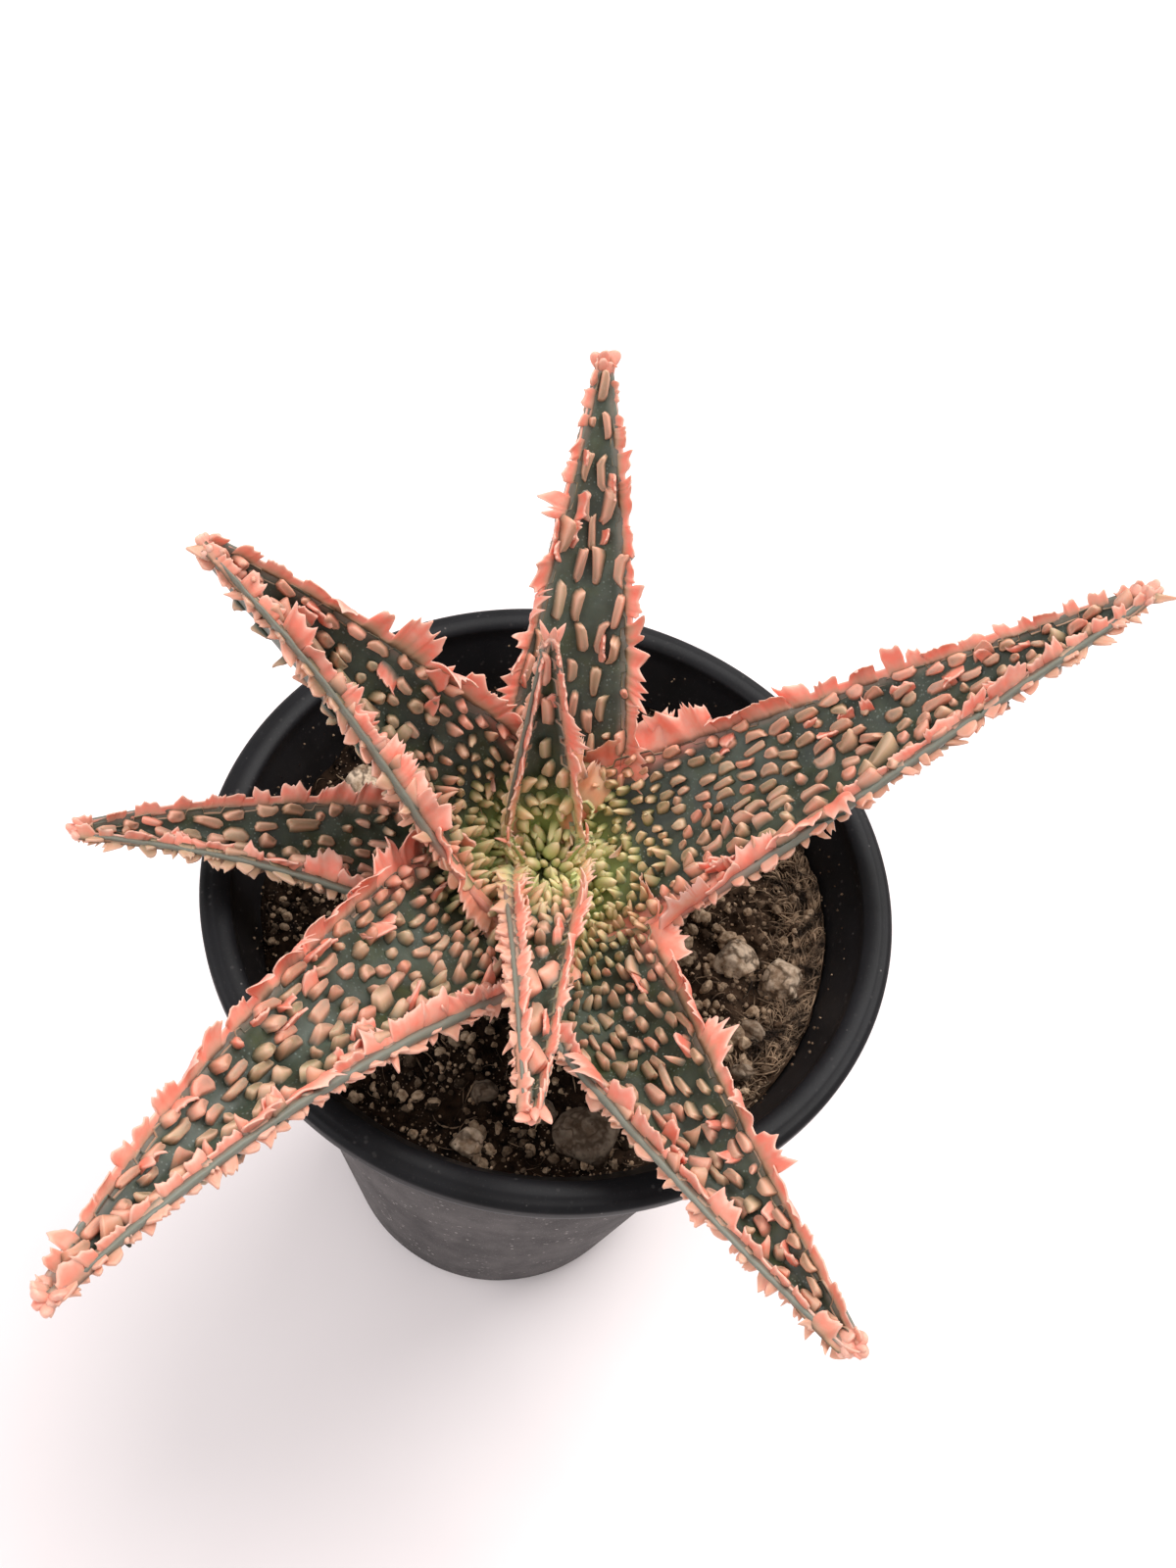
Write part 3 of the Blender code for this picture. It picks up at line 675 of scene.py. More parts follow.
def add_crests(parts, shape, draw, count):
    """Coral crests that stand on the face of a leaf, torn along the top like its margins."""
    leaf = shape.leaf
    for _ in range(count):
        s0 = draw.uniform(0.1, 0.82)
        room = float(shape.half(s0)) - 1.6
        if room < 0.8:
            continue
        y0 = draw.choice([-1, 1]) * room * draw.uniform(0.3, 1.0) ** 0.6
        long = draw.uniform(2.0, 5.6) * (1 - 0.4 * s0)
        x = np.arange(0, long, FIN_PITCH)
        t = x / long
        s = s0 + x / leaf.length
        y = y0 * (1 - 0.6 * (s - s0)) + draw.uniform(-0.7, 0.7) * np.sin(t * 2.6)
        base = shape.point(s, y)
        along, across, up = shape.frame(s, y)
        angle = draw.normal(0.1, 0.35) * np.sign(y0)
        out = up * math.cos(angle) + across * math.sin(angle)
        height = torn_flag(t, long, draw.uniform(1.2, 2.6), draw) * leaf.margin + 0.2
        young = youth(base)[:, None]

        def tint_of(v):
            coral = rises(v, 0.1, 0.4) * (1 - 0.7 * young)
            return masks(coral, 0.8 * rises(v, 0.1, 0.3), young, 0.45 * rises(v, 0.75, 0.25))

        flat = np.zeros_like(x)
        profile = (height, flat + draw.normal(0, 0.3), flat + draw.normal(-0.1, 0.3),
                   ruffle_of(x, s0 * 31, 0.3))
        add_fin(parts, base, along, out, profile, 0.7, 1.15, 0.3, tint_of, draw.random())


def add_tip(parts, shape, draw):
    """A tuft of blunt and pointed lobes that closes the tip of a leaf."""
    leaf = shape.leaf
    slim = leaf.width < SLIM
    count = 3 if slim else 8
    size = 0.55 + 0.45 * min(leaf.length / 60, 1)
    ring = circle(TIP_POINTS)[None, :]
    v = np.array([0.0, 0.25, 0.5, 0.72, 0.88, 0.97, 1.0])[:, None]
    tubes, tints = [], []
    for i in range(count):
        s0 = draw.uniform(0.955, 0.985)
        spread = (2 * (i + 0.5) / count - 1) * (0.7 if slim else 0.9) + draw.normal(0, 0.12)
        tilt = draw.normal(0.12, 0.35)
        base = shape.point(s0, spread * 0.7, -0.35)
        along, across, up = shape.frame(np.array(s0), np.array(0.0))
        way = unit(along * math.cos(spread) + across * math.sin(spread) + up * tilt)
        side = unit(np.cross(up, way))
        top = np.cross(way, side)
        long = draw.uniform(1.7, 2.6) * size * (1.6 if slim else 1.0 - 0.25 * abs(spread))
        wide = draw.uniform(1.4, 2.3) * size * (0.75 if slim else 1)
        deep = draw.uniform(0.8, 1.3) * size * (0.6 if slim else 1)
        blunt = draw.uniform(0.28, 0.5) * (2.2 if slim else 1)
        width = wide / 2 * (1 - v ** 2.2) ** blunt
        bend = draw.normal(0.15, 0.35)
        middle = base + way * (long * v) + top * (bend * long * v ** 2 * 0.5)
        tube = (middle[:, None] + side * (width * np.cos(ring))[..., None]
                + top * (np.minimum(deep / 2, width + 0.05) * np.sin(ring))[..., None])
        tubes.append(tube)
        pale = 0.1 + 0.45 * v ** 2 * np.ones_like(ring)
        tints.append(masks(0.85 * smooth((v + 0.2) / 0.5), 0.8, youth(tube), pale))
    parts.tubes(np.array(tubes), np.array(tints), draw.random(count))


def add_heart(parts, draw):
    """The growing point: a tuft of small pointed nubs between the youngest leaves."""
    ring = circle(NUB_POINTS)[None, :]
    v = np.linspace(0, 1, 6)[:, None]
    tubes = []
    for i in range(HEART_NUBS):
        away = HEART_REACH * math.sqrt((i + 0.5) / HEART_NUBS)
        turn = i * GOLDEN + draw.normal(0, 0.15)
        out = np.array([math.cos(turn), math.sin(turn), 0.0])
        base = HEART + out * away + np.array([0, 0, 4.6 - 0.5 * away + draw.normal(0, 0.4)])
        way = unit(out * (0.15 + 0.1 * away) + np.array([0, 0, 1.0]) + draw.normal(0, 0.16, 3))
        side = unit(np.cross(way, [0.3, 0.8, 0.1]))
        top = np.cross(way, side)
        long = draw.uniform(1.7, 3.6)
        width = draw.uniform(0.6, 1.15) * (1 - v ** 2.4) ** draw.uniform(0.4, 0.8) + 0.03
        round_it = side * (width * np.cos(ring))[..., None] + top * (0.8 * width * np.sin(ring))[..., None]
        tubes.append((base + way * (long * v))[:, None] + round_it)
    tubes = np.array(tubes)
    tint = masks(0.12 * v[None] ** 2, 0.3 + 0.6 * v[None] * np.ones(tubes.shape[:3]), 1.0, 0.4 * v[None] ** 2)
    parts.tubes(tubes, tint, 0.5 * draw.random(HEART_NUBS))


def make_leaf(leaf, material):
    shape = LeafShape(leaf)
    draw = np.random.default_rng(leaf_seed(leaf))
    parts = Parts()
    add_flesh(parts, shape)
    add_pegs(parts, shape, draw)
    add_pegs(parts, shape, draw, below=True)
    for side in (1, -1):
        add_flaps(parts, shape, draw, side)
        add_lobes(parts, shape, draw, side, *LOW_LOBES)
        add_lobes(parts, shape, draw, side, *(SLIM_LOBES if leaf.width < SLIM else HIGH_LOBES))
    add_crests(parts, shape, draw, int(leaf.length * leaf.width * leaf.warm / CREST_AREA))
    add_tip(parts, shape, draw)
    if leaf is LEAVES[0]:
        add_heart(parts, draw)
    made = parts.build(leaf.name + "_fine", material)
    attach(made, BODY)
    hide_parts(leaf.name)


# Materials

def new_material(name, roughness, specular=0.5):
    made = bpy.data.materials.new(name)
    made.use_nodes = True
    n = Nodes(made.node_tree)
    n.surface["Roughness"].default_value = roughness
    n.surface["Specular IOR Level"].default_value = specular
    return made, n


class Nodes:
    """Short ways to add the shader nodes used here."""

    def __init__(self, tree):
        self.tree = tree
        self.surface = tree.nodes["Principled BSDF"].inputs
        self.where = self.add("ShaderNodeTexCoord").outputs["Object"]

    def add(self, kind, **settings):
        node = self.tree.nodes.new(kind)
        for key, value in settings.items():
            setattr(node, key, value)
        return node

    def put(self, socket, value):
        if isinstance(value, bpy.types.NodeSocket):
            self.tree.links.new(value, socket)
        elif isinstance(value, tuple) and len(value) == 3:
            socket.default_value = (*value, 1.0)
        else:
            socket.default_value = value

    def noise(self, size, detail=4.0, rough=0.55, stretch=None):
        """Noise whose features measure about size millimetres, from 0 to 1."""
        node = self.add("ShaderNodeTexNoise")
        node.inputs["Scale"].default_value = 1.0 / (size * MM)
        node.inputs["Detail"].default_value = detail
        node.inputs["Roughness"].default_value = rough
        where = self.where
        if stretch:
            scaled = self.add("ShaderNodeMapping")
            self.put(scaled.inputs["Vector"], where)
            scaled.inputs["Scale"].default_value = stretch
            where = scaled.outputs["Vector"]
        self.put(node.inputs["Vector"], where)
        return node.outputs["Fac"]

    def cells(self, size):
        node = self.add("ShaderNodeTexVoronoi")
        node.inputs["Scale"].default_value = 1.0 / (size * MM)
        self.put(node.inputs["Vector"], self.where)
        return node.outputs["Distance"]

    def ramp(self, value, low, high, to_low=0.0, to_high=1.0):
        node = self.add("ShaderNodeMapRange")
        self.put(node.inputs["Value"], value)
        ends = {"From Min": low, "From Max": high, "To Min": to_low, "To Max": to_high}
        for label, number in ends.items():
            node.inputs[label].default_value = number
        return node.outputs["Result"]

    def patches(self, size, detail, low, high, to_low=0.0, to_high=1.0):
        """Soft patches of that size, from to_low between them to to_high inside."""
        return self.ramp(self.noise(size, detail), low, high, to_low, to_high)

    def stored(self, name):
        """The number that the mesh holds under that name at each point."""
        return self.add("ShaderNodeAttribute", attribute_name=name).outputs["Fac"]

    def mix(self, factor, first, second):
        node = self.add("ShaderNodeMix", data_type="RGBA")
        self.put(node.inputs["Factor"], factor)
        self.put(node.inputs[6], first)
        self.put(node.inputs[7], second)
        return node.outputs[2]

    def times(self, first, second):
        node = self.add("ShaderNodeMath", operation="MULTIPLY")
        self.put(node.inputs[0], first)
        self.put(node.inputs[1], second)
        return node.outputs[0]

    def paint(self, colour):
        self.put(self.surface["Base Color"], colour)

    def bump(self, height, strength, distance):
        node = self.add("ShaderNodeBump")
        node.inputs["Strength"].default_value = strength
        node.inputs["Distance"].default_value = distance * MM
        self.put(node.inputs["Height"], height)
        self.put(self.surface["Normal"], node.outputs["Normal"])


GREEN_DARK = (0.014, 0.021, 0.012)
GREEN_MID = (0.038, 0.048, 0.027)
GREEN_BLUE = (0.066, 0.086, 0.062)
OLIVE = (0.040, 0.052, 0.010)
GREEN_YOUNG = (0.42, 0.50, 0.14)
PEACH = (0.68, 0.38, 0.25)
ROSE = (0.76, 0.34, 0.24)
TAN = (0.50, 0.37, 0.22)
MOSS = (0.32, 0.30, 0.16)
SAGE = (0.74, 0.74, 0.33)
CORAL = (0.88, 0.215, 0.145)
SALMON = (0.82, 0.34, 0.25)
PALE = (0.93, 0.62, 0.50)
WAX = (0.30, 0.36, 0.32)
FROST = (0.20, 0.205, 0.165)


def leaf_material():
    made, n = new_material("leaf_skin", 0.46, 0.4)
    tint = n.add("ShaderNodeAttribute", attribute_name="tint")
    parted = n.add("ShaderNodeSeparateColor")
    n.put(parted.inputs["Color"], tint.outputs["Color"])
    coral, peg, young = parted.outputs["Red"], parted.outputs["Green"], parted.outputs["Blue"]
    vary = n.stored("vary")
    green = n.mix(n.patches(3.2, 6, 0.36, 0.66), GREEN_DARK, GREEN_MID)
    green = n.mix(n.patches(11.0, 3, 0.42, 0.74), green, GREEN_BLUE)
    green = n.mix(n.patches(4.5, 4, 0.5, 0.72, 0.0, 0.75), green, OLIVE)
    green = n.mix(n.ramp(young, 0.1, 1.0, 0.0, 0.85), green, GREEN_YOUNG)
    specks = n.ramp(n.cells(0.55), 0.30, 0.14, 0.0, 0.5)
    green = n.mix(n.times(specks, n.patches(5.0, 2, 0.4, 0.7)), green, WAX)
    green = n.mix(n.ramp(vary, 0.55, 1.0, 0.0, 0.85), green, FROST)
    peach = n.mix(n.ramp(vary, 0.2, 0.9), PEACH, ROSE)
    greyer = n.add("ShaderNodeMath", operation="ADD")
    n.put(greyer.inputs[0], n.ramp(vary, 0.5, 0.0, 0.0, 0.6))
    n.put(greyer.inputs[1], n.patches(13.0, 2, 0.42, 0.66, -0.15, 0.6))
    peach = n.mix(greyer.outputs[0], peach, TAN)
    peach = n.mix(n.patches(0.8, 3, 0.35, 0.75, 0.0, 0.35), peach, TAN)
    peach = n.mix(n.patches(9.0, 3, 0.5, 0.72, 0.0, 0.6), peach, MOSS)
    peach = n.mix(n.ramp(young, 0.0, 0.9, 0.0, 0.92), peach, SAGE)
    colour = n.mix(peg, green, peach)
    flame = n.mix(n.patches(2.6, 4, 0.38, 0.66), CORAL, SALMON)
    colour = n.mix(coral, colour, flame)
    colour = n.mix(tint.outputs["Alpha"], colour, PALE)
    n.paint(colour)
    n.bump(n.noise(0.7, 5, 0.6), 0.35, 0.12)
    n.surface["Subsurface Weight"].default_value = 0.22
    n.surface["Subsurface Radius"].default_value = (1.0, 0.45, 0.3)
    n.surface["Subsurface Scale"].default_value = 0.0012
    return made


def pot_material():
    """Black moulded plastic: clean and bluish at the rim, filmed on the outer wall with a grey that is partly
    dust and partly painted reflection of the bright floor.
    """
    made, n = new_material("pot_black", 0.4, 0.15)
    # weight of dust and painted floor reflection, highest on the outer wall
    dust = n.stored("dust")
    black = n.mix(n.patches(9, 4, 0.35, 0.7), (0.0025, 0.0026, 0.0036), (0.0065, 0.0066, 0.0088))
    # painted floor reflection: this grey film on the outer wall is partly dust and partly the bright floor's
    # reflection painted into the colour
    film_and_reflection = n.mix(n.ramp(n.noise(14, 6, 0.65), 0.3, 0.72), (0.072, 0.065, 0.065), (0.145, 0.132, 0.130))
    streaks = n.ramp(n.noise(4, 5, 0.6, (1.0, 1.0, 0.25)), 0.35, 0.75, 0.65, 1.0)
    colour = n.mix(n.times(dust, streaks), black, film_and_reflection)
    grains = n.ramp(n.cells(1.5), 0.20, 0.11)
    dusty = n.times(dust, n.patches(6, 3, 0.45, 0.62))
    colour = n.mix(n.times(grains, dusty), colour, (0.46, 0.42, 0.40))
    fine = n.ramp(n.cells(0.5), 0.2, 0.1, 0.0, 0.55)
    colour = n.mix(n.times(fine, dust), colour, (0.30, 0.28, 0.27))
    lint = n.ramp(n.cells(2.6), 0.07, 0.03, 0.0, 0.5)
    colour = n.mix(lint, colour, (0.22, 0.20, 0.19))
    n.paint(colour)
    rough = n.ramp(dust, 0.0, 1.0, 0.42, 0.78)
    n.put(n.surface["Roughness"], rough)
    n.bump(n.noise(0.8, 5, 0.6), 0.25, 0.08)
    return made


def soil_material():
    made, n = new_material("soil_crumbs", 0.95, 0.1)
    vary = n.stored("vary")
    dark = n.mix(n.patches(1.6, 6, 0.35, 0.68), (0.003, 0.0015, 0.0010), (0.034, 0.018, 0.010))
    tan = n.mix(n.patches(0.8, 4, 0.35, 0.7), (0.28, 0.175, 0.105), (0.80, 0.58, 0.40))
    parted = n.add("ShaderNodeSeparateXYZ")
    n.put(parted.inputs["Vector"], n.where)
    dry = n.times(n.ramp(parted.outputs["X"], 0.012, 0.036, 0.0, 0.8), n.patches(2.2, 5, 0.36, 0.6))
    dark = n.mix(dry, dark, (0.125, 0.074, 0.046))
    colour = n.mix(n.ramp(vary, 0.3, 0.8), dark, tan)
    sand = n.ramp(n.cells(0.55), 0.24, 0.12, 0.0, 0.8)
    colour = n.mix(n.times(sand, n.patches(7, 3, 0.42, 0.62)), colour, (0.42, 0.31, 0.23))
    n.paint(colour)
    n.bump(n.noise(0.45, 6, 0.7), 0.8, 0.3)
    return made


def fibre_material():
    made, n = new_material("root_fibre", 0.85, 0.3)
    colour = n.mix(n.patches(3.0, 4, 0.4, 0.64), (0.022, 0.012, 0.007), (0.42, 0.28, 0.18))
    n.paint(colour)
    return made


def stone_material():
    made, n = new_material("pumice_rough", 0.92, 0.1)
    tone = n.stored("tone")
    dark = n.mix(n.patches(2.0, 6, 0.35, 0.7), (0.030, 0.020, 0.014), (0.105, 0.070, 0.050))
    pale = n.mix(n.patches(1.6, 6, 0.38, 0.62), (0.38, 0.25, 0.16), (0.92, 0.71, 0.53))
    colour = n.mix(tone, dark, pale)
    pores = n.ramp(n.cells(0.8), 0.24, 0.1, 0.0, 0.75)
    colour = n.mix(n.times(pores, n.patches(2.4, 3, 0.42, 0.6)), colour, (0.05, 0.028, 0.018))
    seam = n.noise(4.6, 3)
    thin = n.times(n.ramp(seam, 0.45, 0.49), n.ramp(seam, 0.545, 0.505))
    colour = n.mix(n.times(thin, 0.75), colour, (0.05, 0.028, 0.016))
    n.paint(colour)
    n.bump(n.noise(0.5, 6, 0.7), 0.9, 0.3)
    return made


def stem_material():
    made, n = new_material("stem_tissue", 0.6)
    colour = n.mix(n.patches(1.5, 5, 0.35, 0.68), (0.20, 0.24, 0.08), (0.42, 0.46, 0.20))
    n.paint(colour)
    n.bump(n.noise(0.6, 5), 0.5, 0.2)
    return made


def floor_material():
    made, n = new_material("studio_floor", 0.9, 0.1)
    colour = n.mix(n.patches(60, 3, 0.4, 0.7), (0.915, 0.842, 0.846), (0.935, 0.864, 0.868))
    n.paint(colour)
    return made


# Pot

def outer_radius(z):
    return FOOT_R + (NECK_R - FOOT_R) * z / NECK_Z


def arc(centre_r, centre_z, half_wide, half_high, start, end, steps):
    """Points on part of an ellipse, angles in degrees from the +radius side."""
    angles = np.radians(np.linspace(start, end, steps))
    return [(centre_r + half_wide * math.cos(a), centre_z + half_high * math.sin(a)) for a in angles]


def pot_profile():
    """The pot's section from the foot up the outside, over the rim and down to the floor: r, z, and the
    weight of dust and painted floor reflection.
    """
    bead = (RIM_R - MOUTH_R) / 2
    middle = (RIM_R + MOUTH_R) / 2
    section = [(0, 0, 0.6), (FOOT_R - 1.2, 0, 0.8), (FOOT_R - 0.3, 0.25, 0.9), (FOOT_R + 0.1, 0.9, 1)]
    for z in np.linspace(3, NECK_Z - 2.5, 30):
        section.append((outer_radius(z), z, 1.0))
    section += [(outer_radius(NECK_Z - 1.0) + 0.05, NECK_Z - 1.0, 0.8), (NECK_R + 0.9, NECK_Z + 0.1, 0.5)]
    band = POT_H - BEAD
    section += [(RIM_R - LIP, band - 0.9, 0.3), (RIM_R - 0.7, band - 0.85, 0.2)]
    section += [(RIM_R - 0.1, band - 0.2, 0.12)]
    crown = arc(middle, POT_H - 1.0, bead, 1.0, 0, 180, 17)
    section += [(RIM_R, band + 0.5, 0.1)]
    for r, z in crown:
        groove = 0.16 * math.exp(-((r - (RIM_R - 1.35)) / 0.22) ** 2)
        section.append((r, z - groove, 0.06))
    section += [(MOUTH_R - 0.05, POT_H - 1.8, 0.05), (MOUTH_R - 0.5, POT_H - 3.0, 0.08)]
    section += [(NECK_R - WALL + 0.25, NECK_Z - 0.6, 0.1), (NECK_R - WALL - 0.05, NECK_Z - 2.2, 0.12)]
    for z in np.linspace(NECK_Z - 6, FLOOR_T + 1, 14):
        section.append((outer_radius(z) - WALL, z, 0.2))
    section += [(outer_radius(FLOOR_T) - WALL - 0.8, FLOOR_T, 0.2), (0, FLOOR_T, 0.2)]
    return section


def notch_cutter(turn):
    out = np.array([math.cos(turn), math.sin(turn), 0])
    side = np.array([-math.sin(turn), math.cos(turn), 0])
    up = np.array([0, 0, 1.0])
    points = []
    for across in (-NOTCH_WIDTH / 2, NOTCH_WIDTH / 2):
        for radius, height in ((FOOT_R - 3.4, -1.0), (FOOT_R + 4.0, -1.0), (FOOT_R + 4.0, NOTCH_HEIGHT)):
            points.append(out * radius + side * across + up * height)
    return mesh_object("notch", points, [(0, 2, 1), (3, 4, 5), (0, 1, 4, 3), (1, 2, 5, 4), (2, 0, 3, 5)])


def drain_cutter(turn):
    sides = DRAIN_SIDES
    middle_x, middle_y = polar(DRAIN_CIRCLE, turn)
    points = []
    for z in (-1.0, FLOOR_T + 1.0):
        for i in range(sides):
            x, y = polar(DRAIN_R, math.tau * i / sides)
            points.append((middle_x + x, middle_y + y, z))
    faces = [tuple(range(sides)), tuple(range(sides, 2 * sides))]
    faces += [(i, (i + 1) % sides, sides + (i + 1) % sides, sides + i) for i in range(sides)]
    return mesh_object("drain", points, faces)


def make_pot(material):
    section = pot_profile()
    inner = section[1:-1]
    points = []
    # per point weight of dust and painted floor reflection, read by the pot's material
    dust = []
    for side in range(POT_SIDES):
        turn = math.tau * side / POT_SIDES
        for r, z, d in inner:
            sway = 1 + 0.0012 * math.sin(2 * turn + 0.7) * z / POT_H
            points.append((r * sway * math.cos(turn), r * sway * math.sin(turn), z))
            dust.append(d)
    m = len(inner)
    faces = []
    for side in range(POT_SIDES):
        here, there = side * m, (side + 1) % POT_SIDES * m
        faces += [(here + i, there + i, there + i + 1, here + i + 1) for i in range(m - 1)]
    for middle, row in (((0, 0, 0), 0), ((0, 0, FLOOR_T), m - 1)):
        hub = len(points)
        points.append(middle)
        dust.append(0.3)
        faces += [(hub, side * m + row, (side + 1) % POT_SIDES * m + row) for side in range(POT_SIDES)]
    pot = mesh_object("pot_fine", points, faces, material, (("dust", "FLOAT", dust),))
    cutters = [notch_cutter(math.tau * (i + 0.5) / NOTCHES) for i in range(NOTCHES)]
    cutters += [drain_cutter(math.tau * i / DRAINS) for i in range(DRAINS)]
    group = bpy.data.collections.new("pot_cutters")
    for thing in cutters:
        bpy.context.collection.objects.unlink(thing)
        group.objects.link(thing)
    change = pot.modifiers.new("cut", "BOOLEAN")
    change.operand_type = "COLLECTION"
    change.collection = group
    change.solver = "EXACT"
    result = bpy.data.meshes.new_from_object(pot.evaluated_get(bpy.context.evaluated_depsgraph_get()))
    pot.modifiers.clear()
    pot.data = result
    for thing in cutters:
        bpy.data.objects.remove(thing, do_unlink=True)
    bpy.data.collections.remove(group)
    result.shade_smooth()
    result.set_sharp_from_angle(angle=math.radians(38))
    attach(pot, BODY)
    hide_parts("pot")


# Soil

def soil_top(x, y):
    """Height of the soil, as in the model."""
    radius = math.hypot(x, y)
    broad = noise.noise(Vector((x / 16, y / 16, 3.1)))
    lumps = noise.noise(Vector((x / 4.2, y / 4.2, 7.7)))
    bank = float(rises(radius, 33, 8)) * (1.2 + 1.6 * max(x, 0) / SOIL_R)
    hollow = -1.2 * float(smooth((16 - radius) / 12))
    return SOIL_Z + 1.2 * broad + SOIL_LUMP * lumps + bank + hollow


def fine_soil(x, y):
    grit = noise.fractal(Vector((x / 1.9, y / 1.9, 1.3)), 1.0, 2.1, 4)
    return soil_top(x, y) + 0.55 * grit


def make_soil(material):
    rings, sides = SOIL_RINGS, SOIL_SIDES
    edge = SOIL_R + 0.15
    points = []
    for i in range(1, rings + 1):
        r = edge * i / rings
        for j in range(sides):
            a = math.tau * (j + 0.5 * (i % 2)) / sides
            x, y = polar(r, a)
            points.append((x, y, fine_soil(x, y)))
    top = np.array(points).reshape(rings, sides, 3)
    low_r = outer_radius(FLOOR_T + 0.3) - WALL - 0.6
    scale = low_r / edge
    foot = top[-1] * [scale, scale, 0] + [0, 0, FLOOR_T + 0.3]
    tube = np.concatenate([top, foot[None]], 0)
    parts = Parts()
    parts.tubes(tube[None], masks(0, 0, 0, 0), [0.0])
    soil = parts.build("soil_fine", material)
    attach(soil, BODY)
    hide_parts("soil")


def rock_points(draw, level):
    """Unit directions and radii of an angular pebble: a ball cut flat by random planes."""
    shape = bmesh.new()
    bmesh.ops.create_icosphere(shape, subdivisions=level, radius=1.0)
    ways = np.array([v.co[:] for v in shape.verts])
    faces = [tuple(v.index for v in f.verts) for f in shape.faces]
    shape.free()
    planes = unit(draw.normal(size=(ROCK_FLATS, 3)))
    deep = draw.uniform(0.66, 1.0, ROCK_FLATS)
    facing = ways @ planes.T
    reach = np.where(facing > 0.2, deep / np.maximum(facing, 0.2), 9.0)
    radius = -np.log(np.exp(-ROCK_EDGE * reach).sum(1) + math.exp(-ROCK_EDGE * 1.12)) / ROCK_EDGE
    return ways, faces, radius


class Grit:
    """Gathers small angular pebbles into one mesh."""

    def __init__(self, draw, level):
        self.draw = draw
        self.forms = [rock_points(draw, level) for _ in range(ROCK_FORMS)]
        self.points = []
        self.faces = []
        self.vary = []
        self.count = 0

    def place(self, spot, size, tone):
        ways, faces, radius = self.forms[self.draw.integers(0, ROCK_FORMS)]
        turn = np.linalg.qr(self.draw.normal(size=(3, 3)))[0]
        turn[:, 0] *= np.linalg.det(turn)
        squash = self.draw.uniform(0.55, 1.0, 3)
        body = (ways * radius[:, None] * squash) @ turn.T * size / 2
        self.points.append(body + spot)
        self.faces += [tuple(i + self.count for i in face) for face in faces]
        self.vary += [tone] * len(body)
        self.count += len(body)

    def build(self, name, material):
        values = (("vary", "FLOAT", self.vary),)
        made = mesh_object(name, np.concatenate(self.points), self.faces, material, values, outward=False)
        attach(made, BODY)


def on_soil(draw, inner):
    """A random place on the soil and its height."""
    r = (SOIL_R - 0.7) * math.sqrt(draw.uniform(inner, 1))
    a = draw.uniform(0, math.tau)
    x, y = polar(r, a)
    return x, y, fine_soil(x, y)


def make_grains(material):
    """Grit, crumbs and small stones on the soil, and specks stuck to the inside of the wall."""
    draw = np.random.default_rng(GRAIN_SEED)
    fine = Grit(draw, 1)
    for _ in range(GRIT):
        x, y, z = on_soil(draw, 0.05)
        size = 0.35 + 0.9 * draw.random() ** 2
        fine.place((x, y, z + 0.15 * size), size, draw.random() ** 1.4)
    for _ in range(WALL_SPECKS):
        z = SOIL_Z + 1.0 + 9.0 * draw.random() ** 3.5
        a = draw.uniform(0, math.tau)
        wall = outer_radius(min(z, NECK_Z - 2.5)) - WALL + max(0.0, z - NECK_Z + 2.5) * 0.32
        size = draw.uniform(0.2, 0.6)
        fine.place((*polar(wall - 0.12, a), z), size, draw.uniform(0.2, 0.75))
    fine.build("grit", material)
    coarse = Grit(draw, 2)
    for _ in range(CRUMBS):
        x, y, z = on_soil(draw, 0.08)
        size = 0.9 + 1.7 * draw.random() ** 1.7
        bright = draw.random() < 0.36 + 0.22 * (x > 12)
        tone = draw.uniform(0.55, 1.0) if bright else draw.uniform(0.0, 0.5)
        coarse.place((x, y, z + 0.12 * size), size, tone)
    for _ in range(CHIPS):
        x, y = draw.uniform(12, 33), draw.uniform(-25, 8)
        size = 1.6 + 2.2 * draw.random() ** 2
        if math.hypot(x, y) < SOIL_R - 4:
            coarse.place((x, y, fine_soil(x, y) + 0.2 * size), size, draw.uniform(0.6, 1.0))
    coarse.build("crumbs", material)


def make_fibres(material):
    """Fine root and peat fibres, thickest against the wall on the right."""
    draw = np.random.default_rng(FIBRE_SEED)
    parts = Parts()
    ring = circle(3)
    steps = FIBRE_STEPS
    tubes = []
    for i in range(FIBRES):
        banked = i < BANKED
        if banked:
            a = draw.normal(-0.1, 0.42)
            r = SOIL_R - 0.6 - abs(draw.normal(0, 2.6))
            heading = a + math.pi / 2 + draw.normal(0, 0.5)
        else:
            a = draw.uniform(0, math.tau)
            r = (SOIL_R - 1) * math.sqrt(draw.uniform(0.05, 1))
            heading = draw.uniform(0, math.tau)
        spot = np.array(polar(r, a))
        length = draw.uniform(2.0, 6.5)
        bend = draw.normal(0, 0.25)
        thick = 0.05 + 0.2 * draw.random() ** 2.5
        arch = draw.uniform(0.1, 0.9 if banked else 0.5)
        rows = []
        for k in range(steps):
            heading += bend
            spot = spot + length / steps * np.array([math.cos(heading), math.sin(heading)])
            away = np.linalg.norm(spot)
            if away > SOIL_R - 0.2:
                spot = spot * (SOIL_R - 0.2) / away
            z = fine_soil(*spot) + 0.1 + arch * math.sin(math.pi * (k + 0.5) / steps)
            across = np.array([-math.sin(heading), math.cos(heading), 0])
            slim = thick * (1 - 0.6 * abs(2 * k / (steps - 1) - 1))
            rows.append([np.array([*spot, z]) + slim * (across * math.cos(t) + np.array([0, 0, math.sin(t)]))
                         for t in ring])
        tubes.append(rows)
    parts.tubes(np.array(tubes), masks(0, 0, 0, 0), np.zeros(len(tubes)))
    fibres = parts.build("fibres", material)
    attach(fibres, BODY)


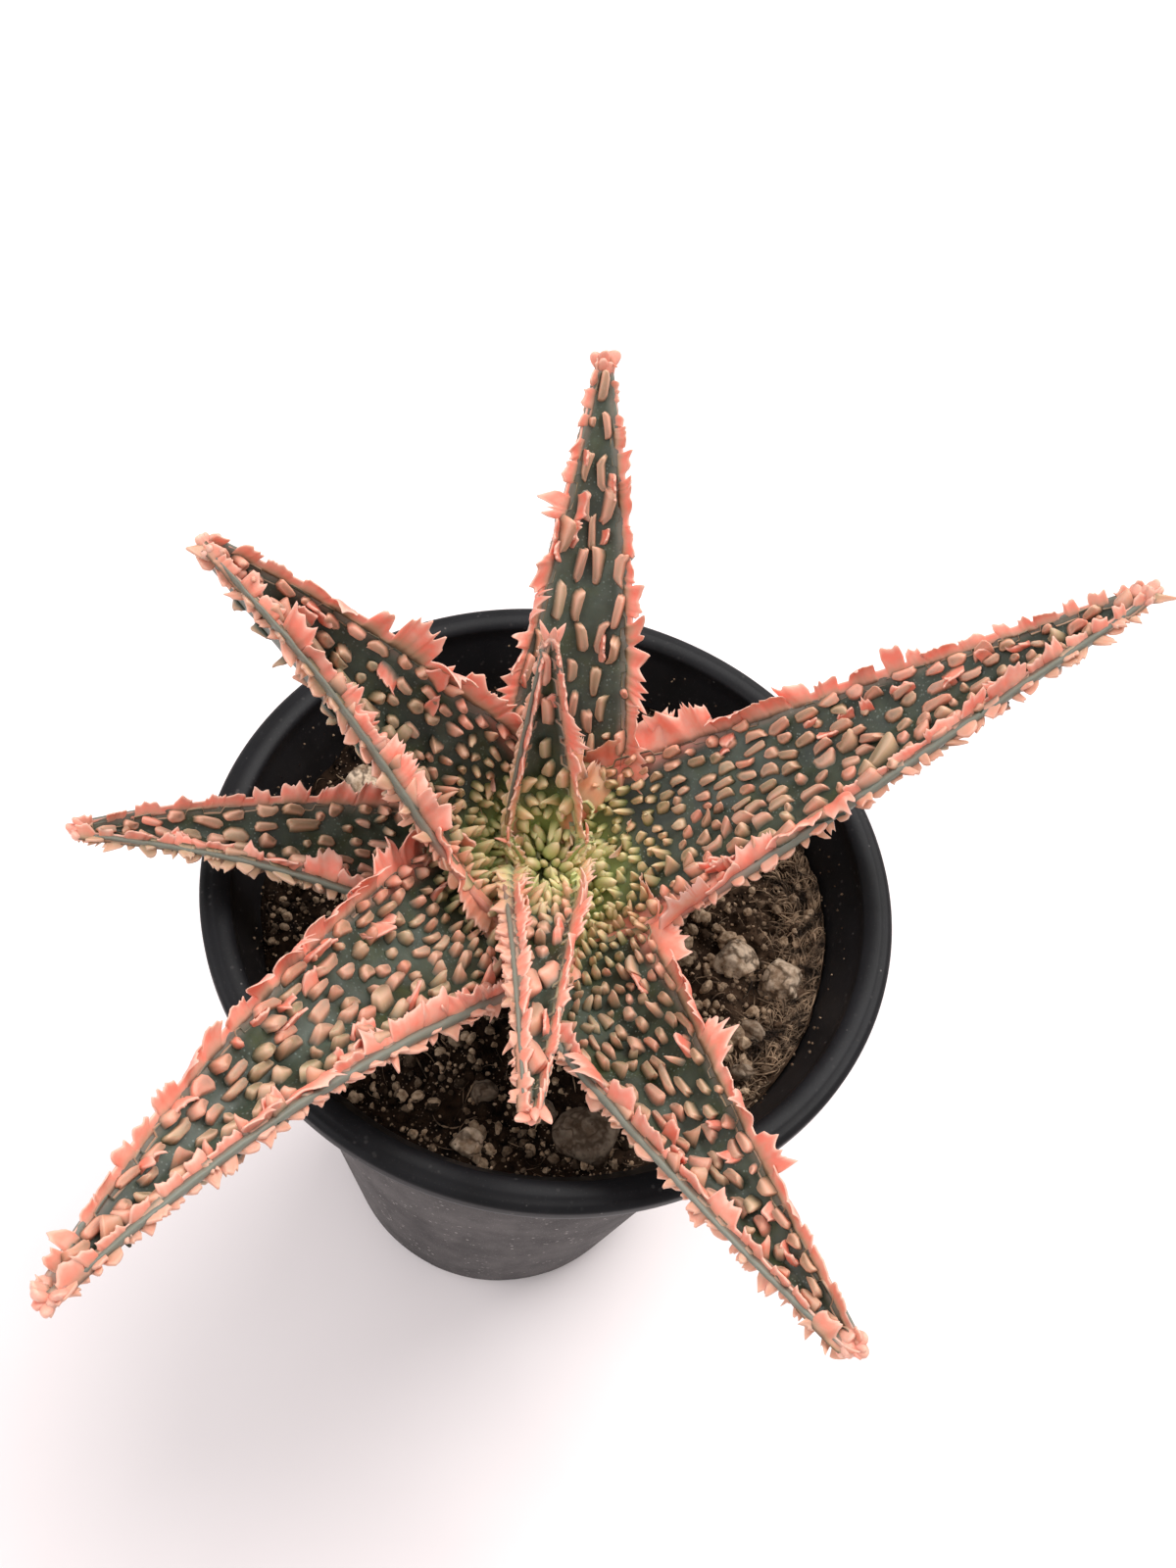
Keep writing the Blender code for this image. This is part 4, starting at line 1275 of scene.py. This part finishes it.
def make_stone(stone, material, number):
    draw = np.random.default_rng(STONE_SEED + number)
    ways, faces, radius = rock_points(draw, 5 if stone.wide > 6 else 4)
    spot = np.array([stone.x, stone.y, soil_top(stone.x, stone.y) + stone.high * PERCH])
    half = np.array([stone.wide, stone.long, stone.high]) / 2
    rough = np.array([noise.fractal(Vector(w * 2.6) + Vector(spot), 0.9, 2.1, 5) for w in ways])
    pits = np.array([noise.noise(Vector(w * 5.5) + Vector(spot)) for w in ways])
    pits = np.clip(np.abs(pits) * 6, 0, 1) - 1
    body = ways * (radius * (1 + 0.035 * rough + 0.02 * pits))[:, None] * half
    values = (("tone", "FLOAT", [stone.tone] * len(body)),)
    made = mesh_object(stone.name + "_fine", body + spot, faces, material, values, outward=False)
    made.data.shade_smooth()
    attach(made, BODY)
    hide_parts(stone.name)


# Studio

def make_floor():
    far = FLOOR_REACH
    corners = [(-far, -far, 0), (far, -far, 0), (far, far, 0), (-far, far, 0)]
    floor = mesh_object("floor", corners, [(0, 1, 2, 3)], floor_material(), outward=False)


def make_light(name, place, size, watts, colour):
    lamp = bpy.data.lights.new(name, "AREA")
    lamp.shape = "DISK"
    lamp.size = size
    lamp.energy = watts
    lamp.color = colour
    made = bpy.data.objects.new(name, lamp)
    made.location = place
    aim = Vector((0, 0, 0.08)) - Vector(place)
    made.rotation_euler = aim.to_track_quat("-Z", "Y").to_euler()
    bpy.context.collection.objects.link(made)


def make_studio():
    make_floor()
    world = bpy.data.worlds.new("studio")
    world.use_nodes = True
    sky = world.node_tree.nodes["Background"]
    sky.inputs["Color"].default_value = SKY
    sky.inputs["Strength"].default_value = SKY_STRENGTH
    bpy.context.scene.world = world
    for light in LIGHTS:
        make_light(*light)
    view = bpy.context.scene.view_settings
    view.view_transform = "Standard"
    view.look = "None"
    view.exposure = 0.0


def make_camera():
    """The photograph's camera: its tilt, its roll and where the rim's centre lies in the picture."""
    tilt, roll = math.radians(ELEVATION), math.radians(ROLL)
    forward = Vector((0, math.cos(tilt), -math.sin(tilt)))
    level = Vector((1, 0, 0))
    above = level.cross(forward)
    right = level * math.cos(roll) + above * math.sin(roll)
    up = above * math.cos(roll) - level * math.sin(roll)
    across = right * (RIM_OFF_RIGHT / FOCAL_PX * DISTANCE)
    down = up * (-RIM_OFF_DOWN / FOCAL_PX * DISTANCE)
    place = (Vector((0, 0, POT_H)) - forward * DISTANCE - across - down) * MM
    data = bpy.data.cameras.new("camera")
    data.sensor_width = SENSOR
    data.sensor_fit = "AUTO"
    data.lens = FOCAL_PX / FRAME_LONG * SENSOR
    data.clip_start = 0.005
    camera = bpy.data.objects.new("camera", data)
    turn = Matrix((right, up, -forward)).transposed()
    camera.matrix_world = Matrix.Translation(place) @ turn.to_4x4()
    bpy.context.collection.objects.link(camera)
    bpy.context.scene.camera = camera


def main():
    make_camera()
    make_studio()
    skin = leaf_material()
    for leaf in LEAVES:
        make_leaf(leaf, skin)
    make_pot(pot_material())
    soil = soil_material()
    make_soil(soil)
    make_grains(soil)
    make_fibres(fibre_material())
    pumice = stone_material()
    for number, stone in enumerate(STONES):
        make_stone(stone, pumice, number)
    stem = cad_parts["stem"]
    stem.data.materials.clear()
    stem.data.materials.append(stem_material())


main()
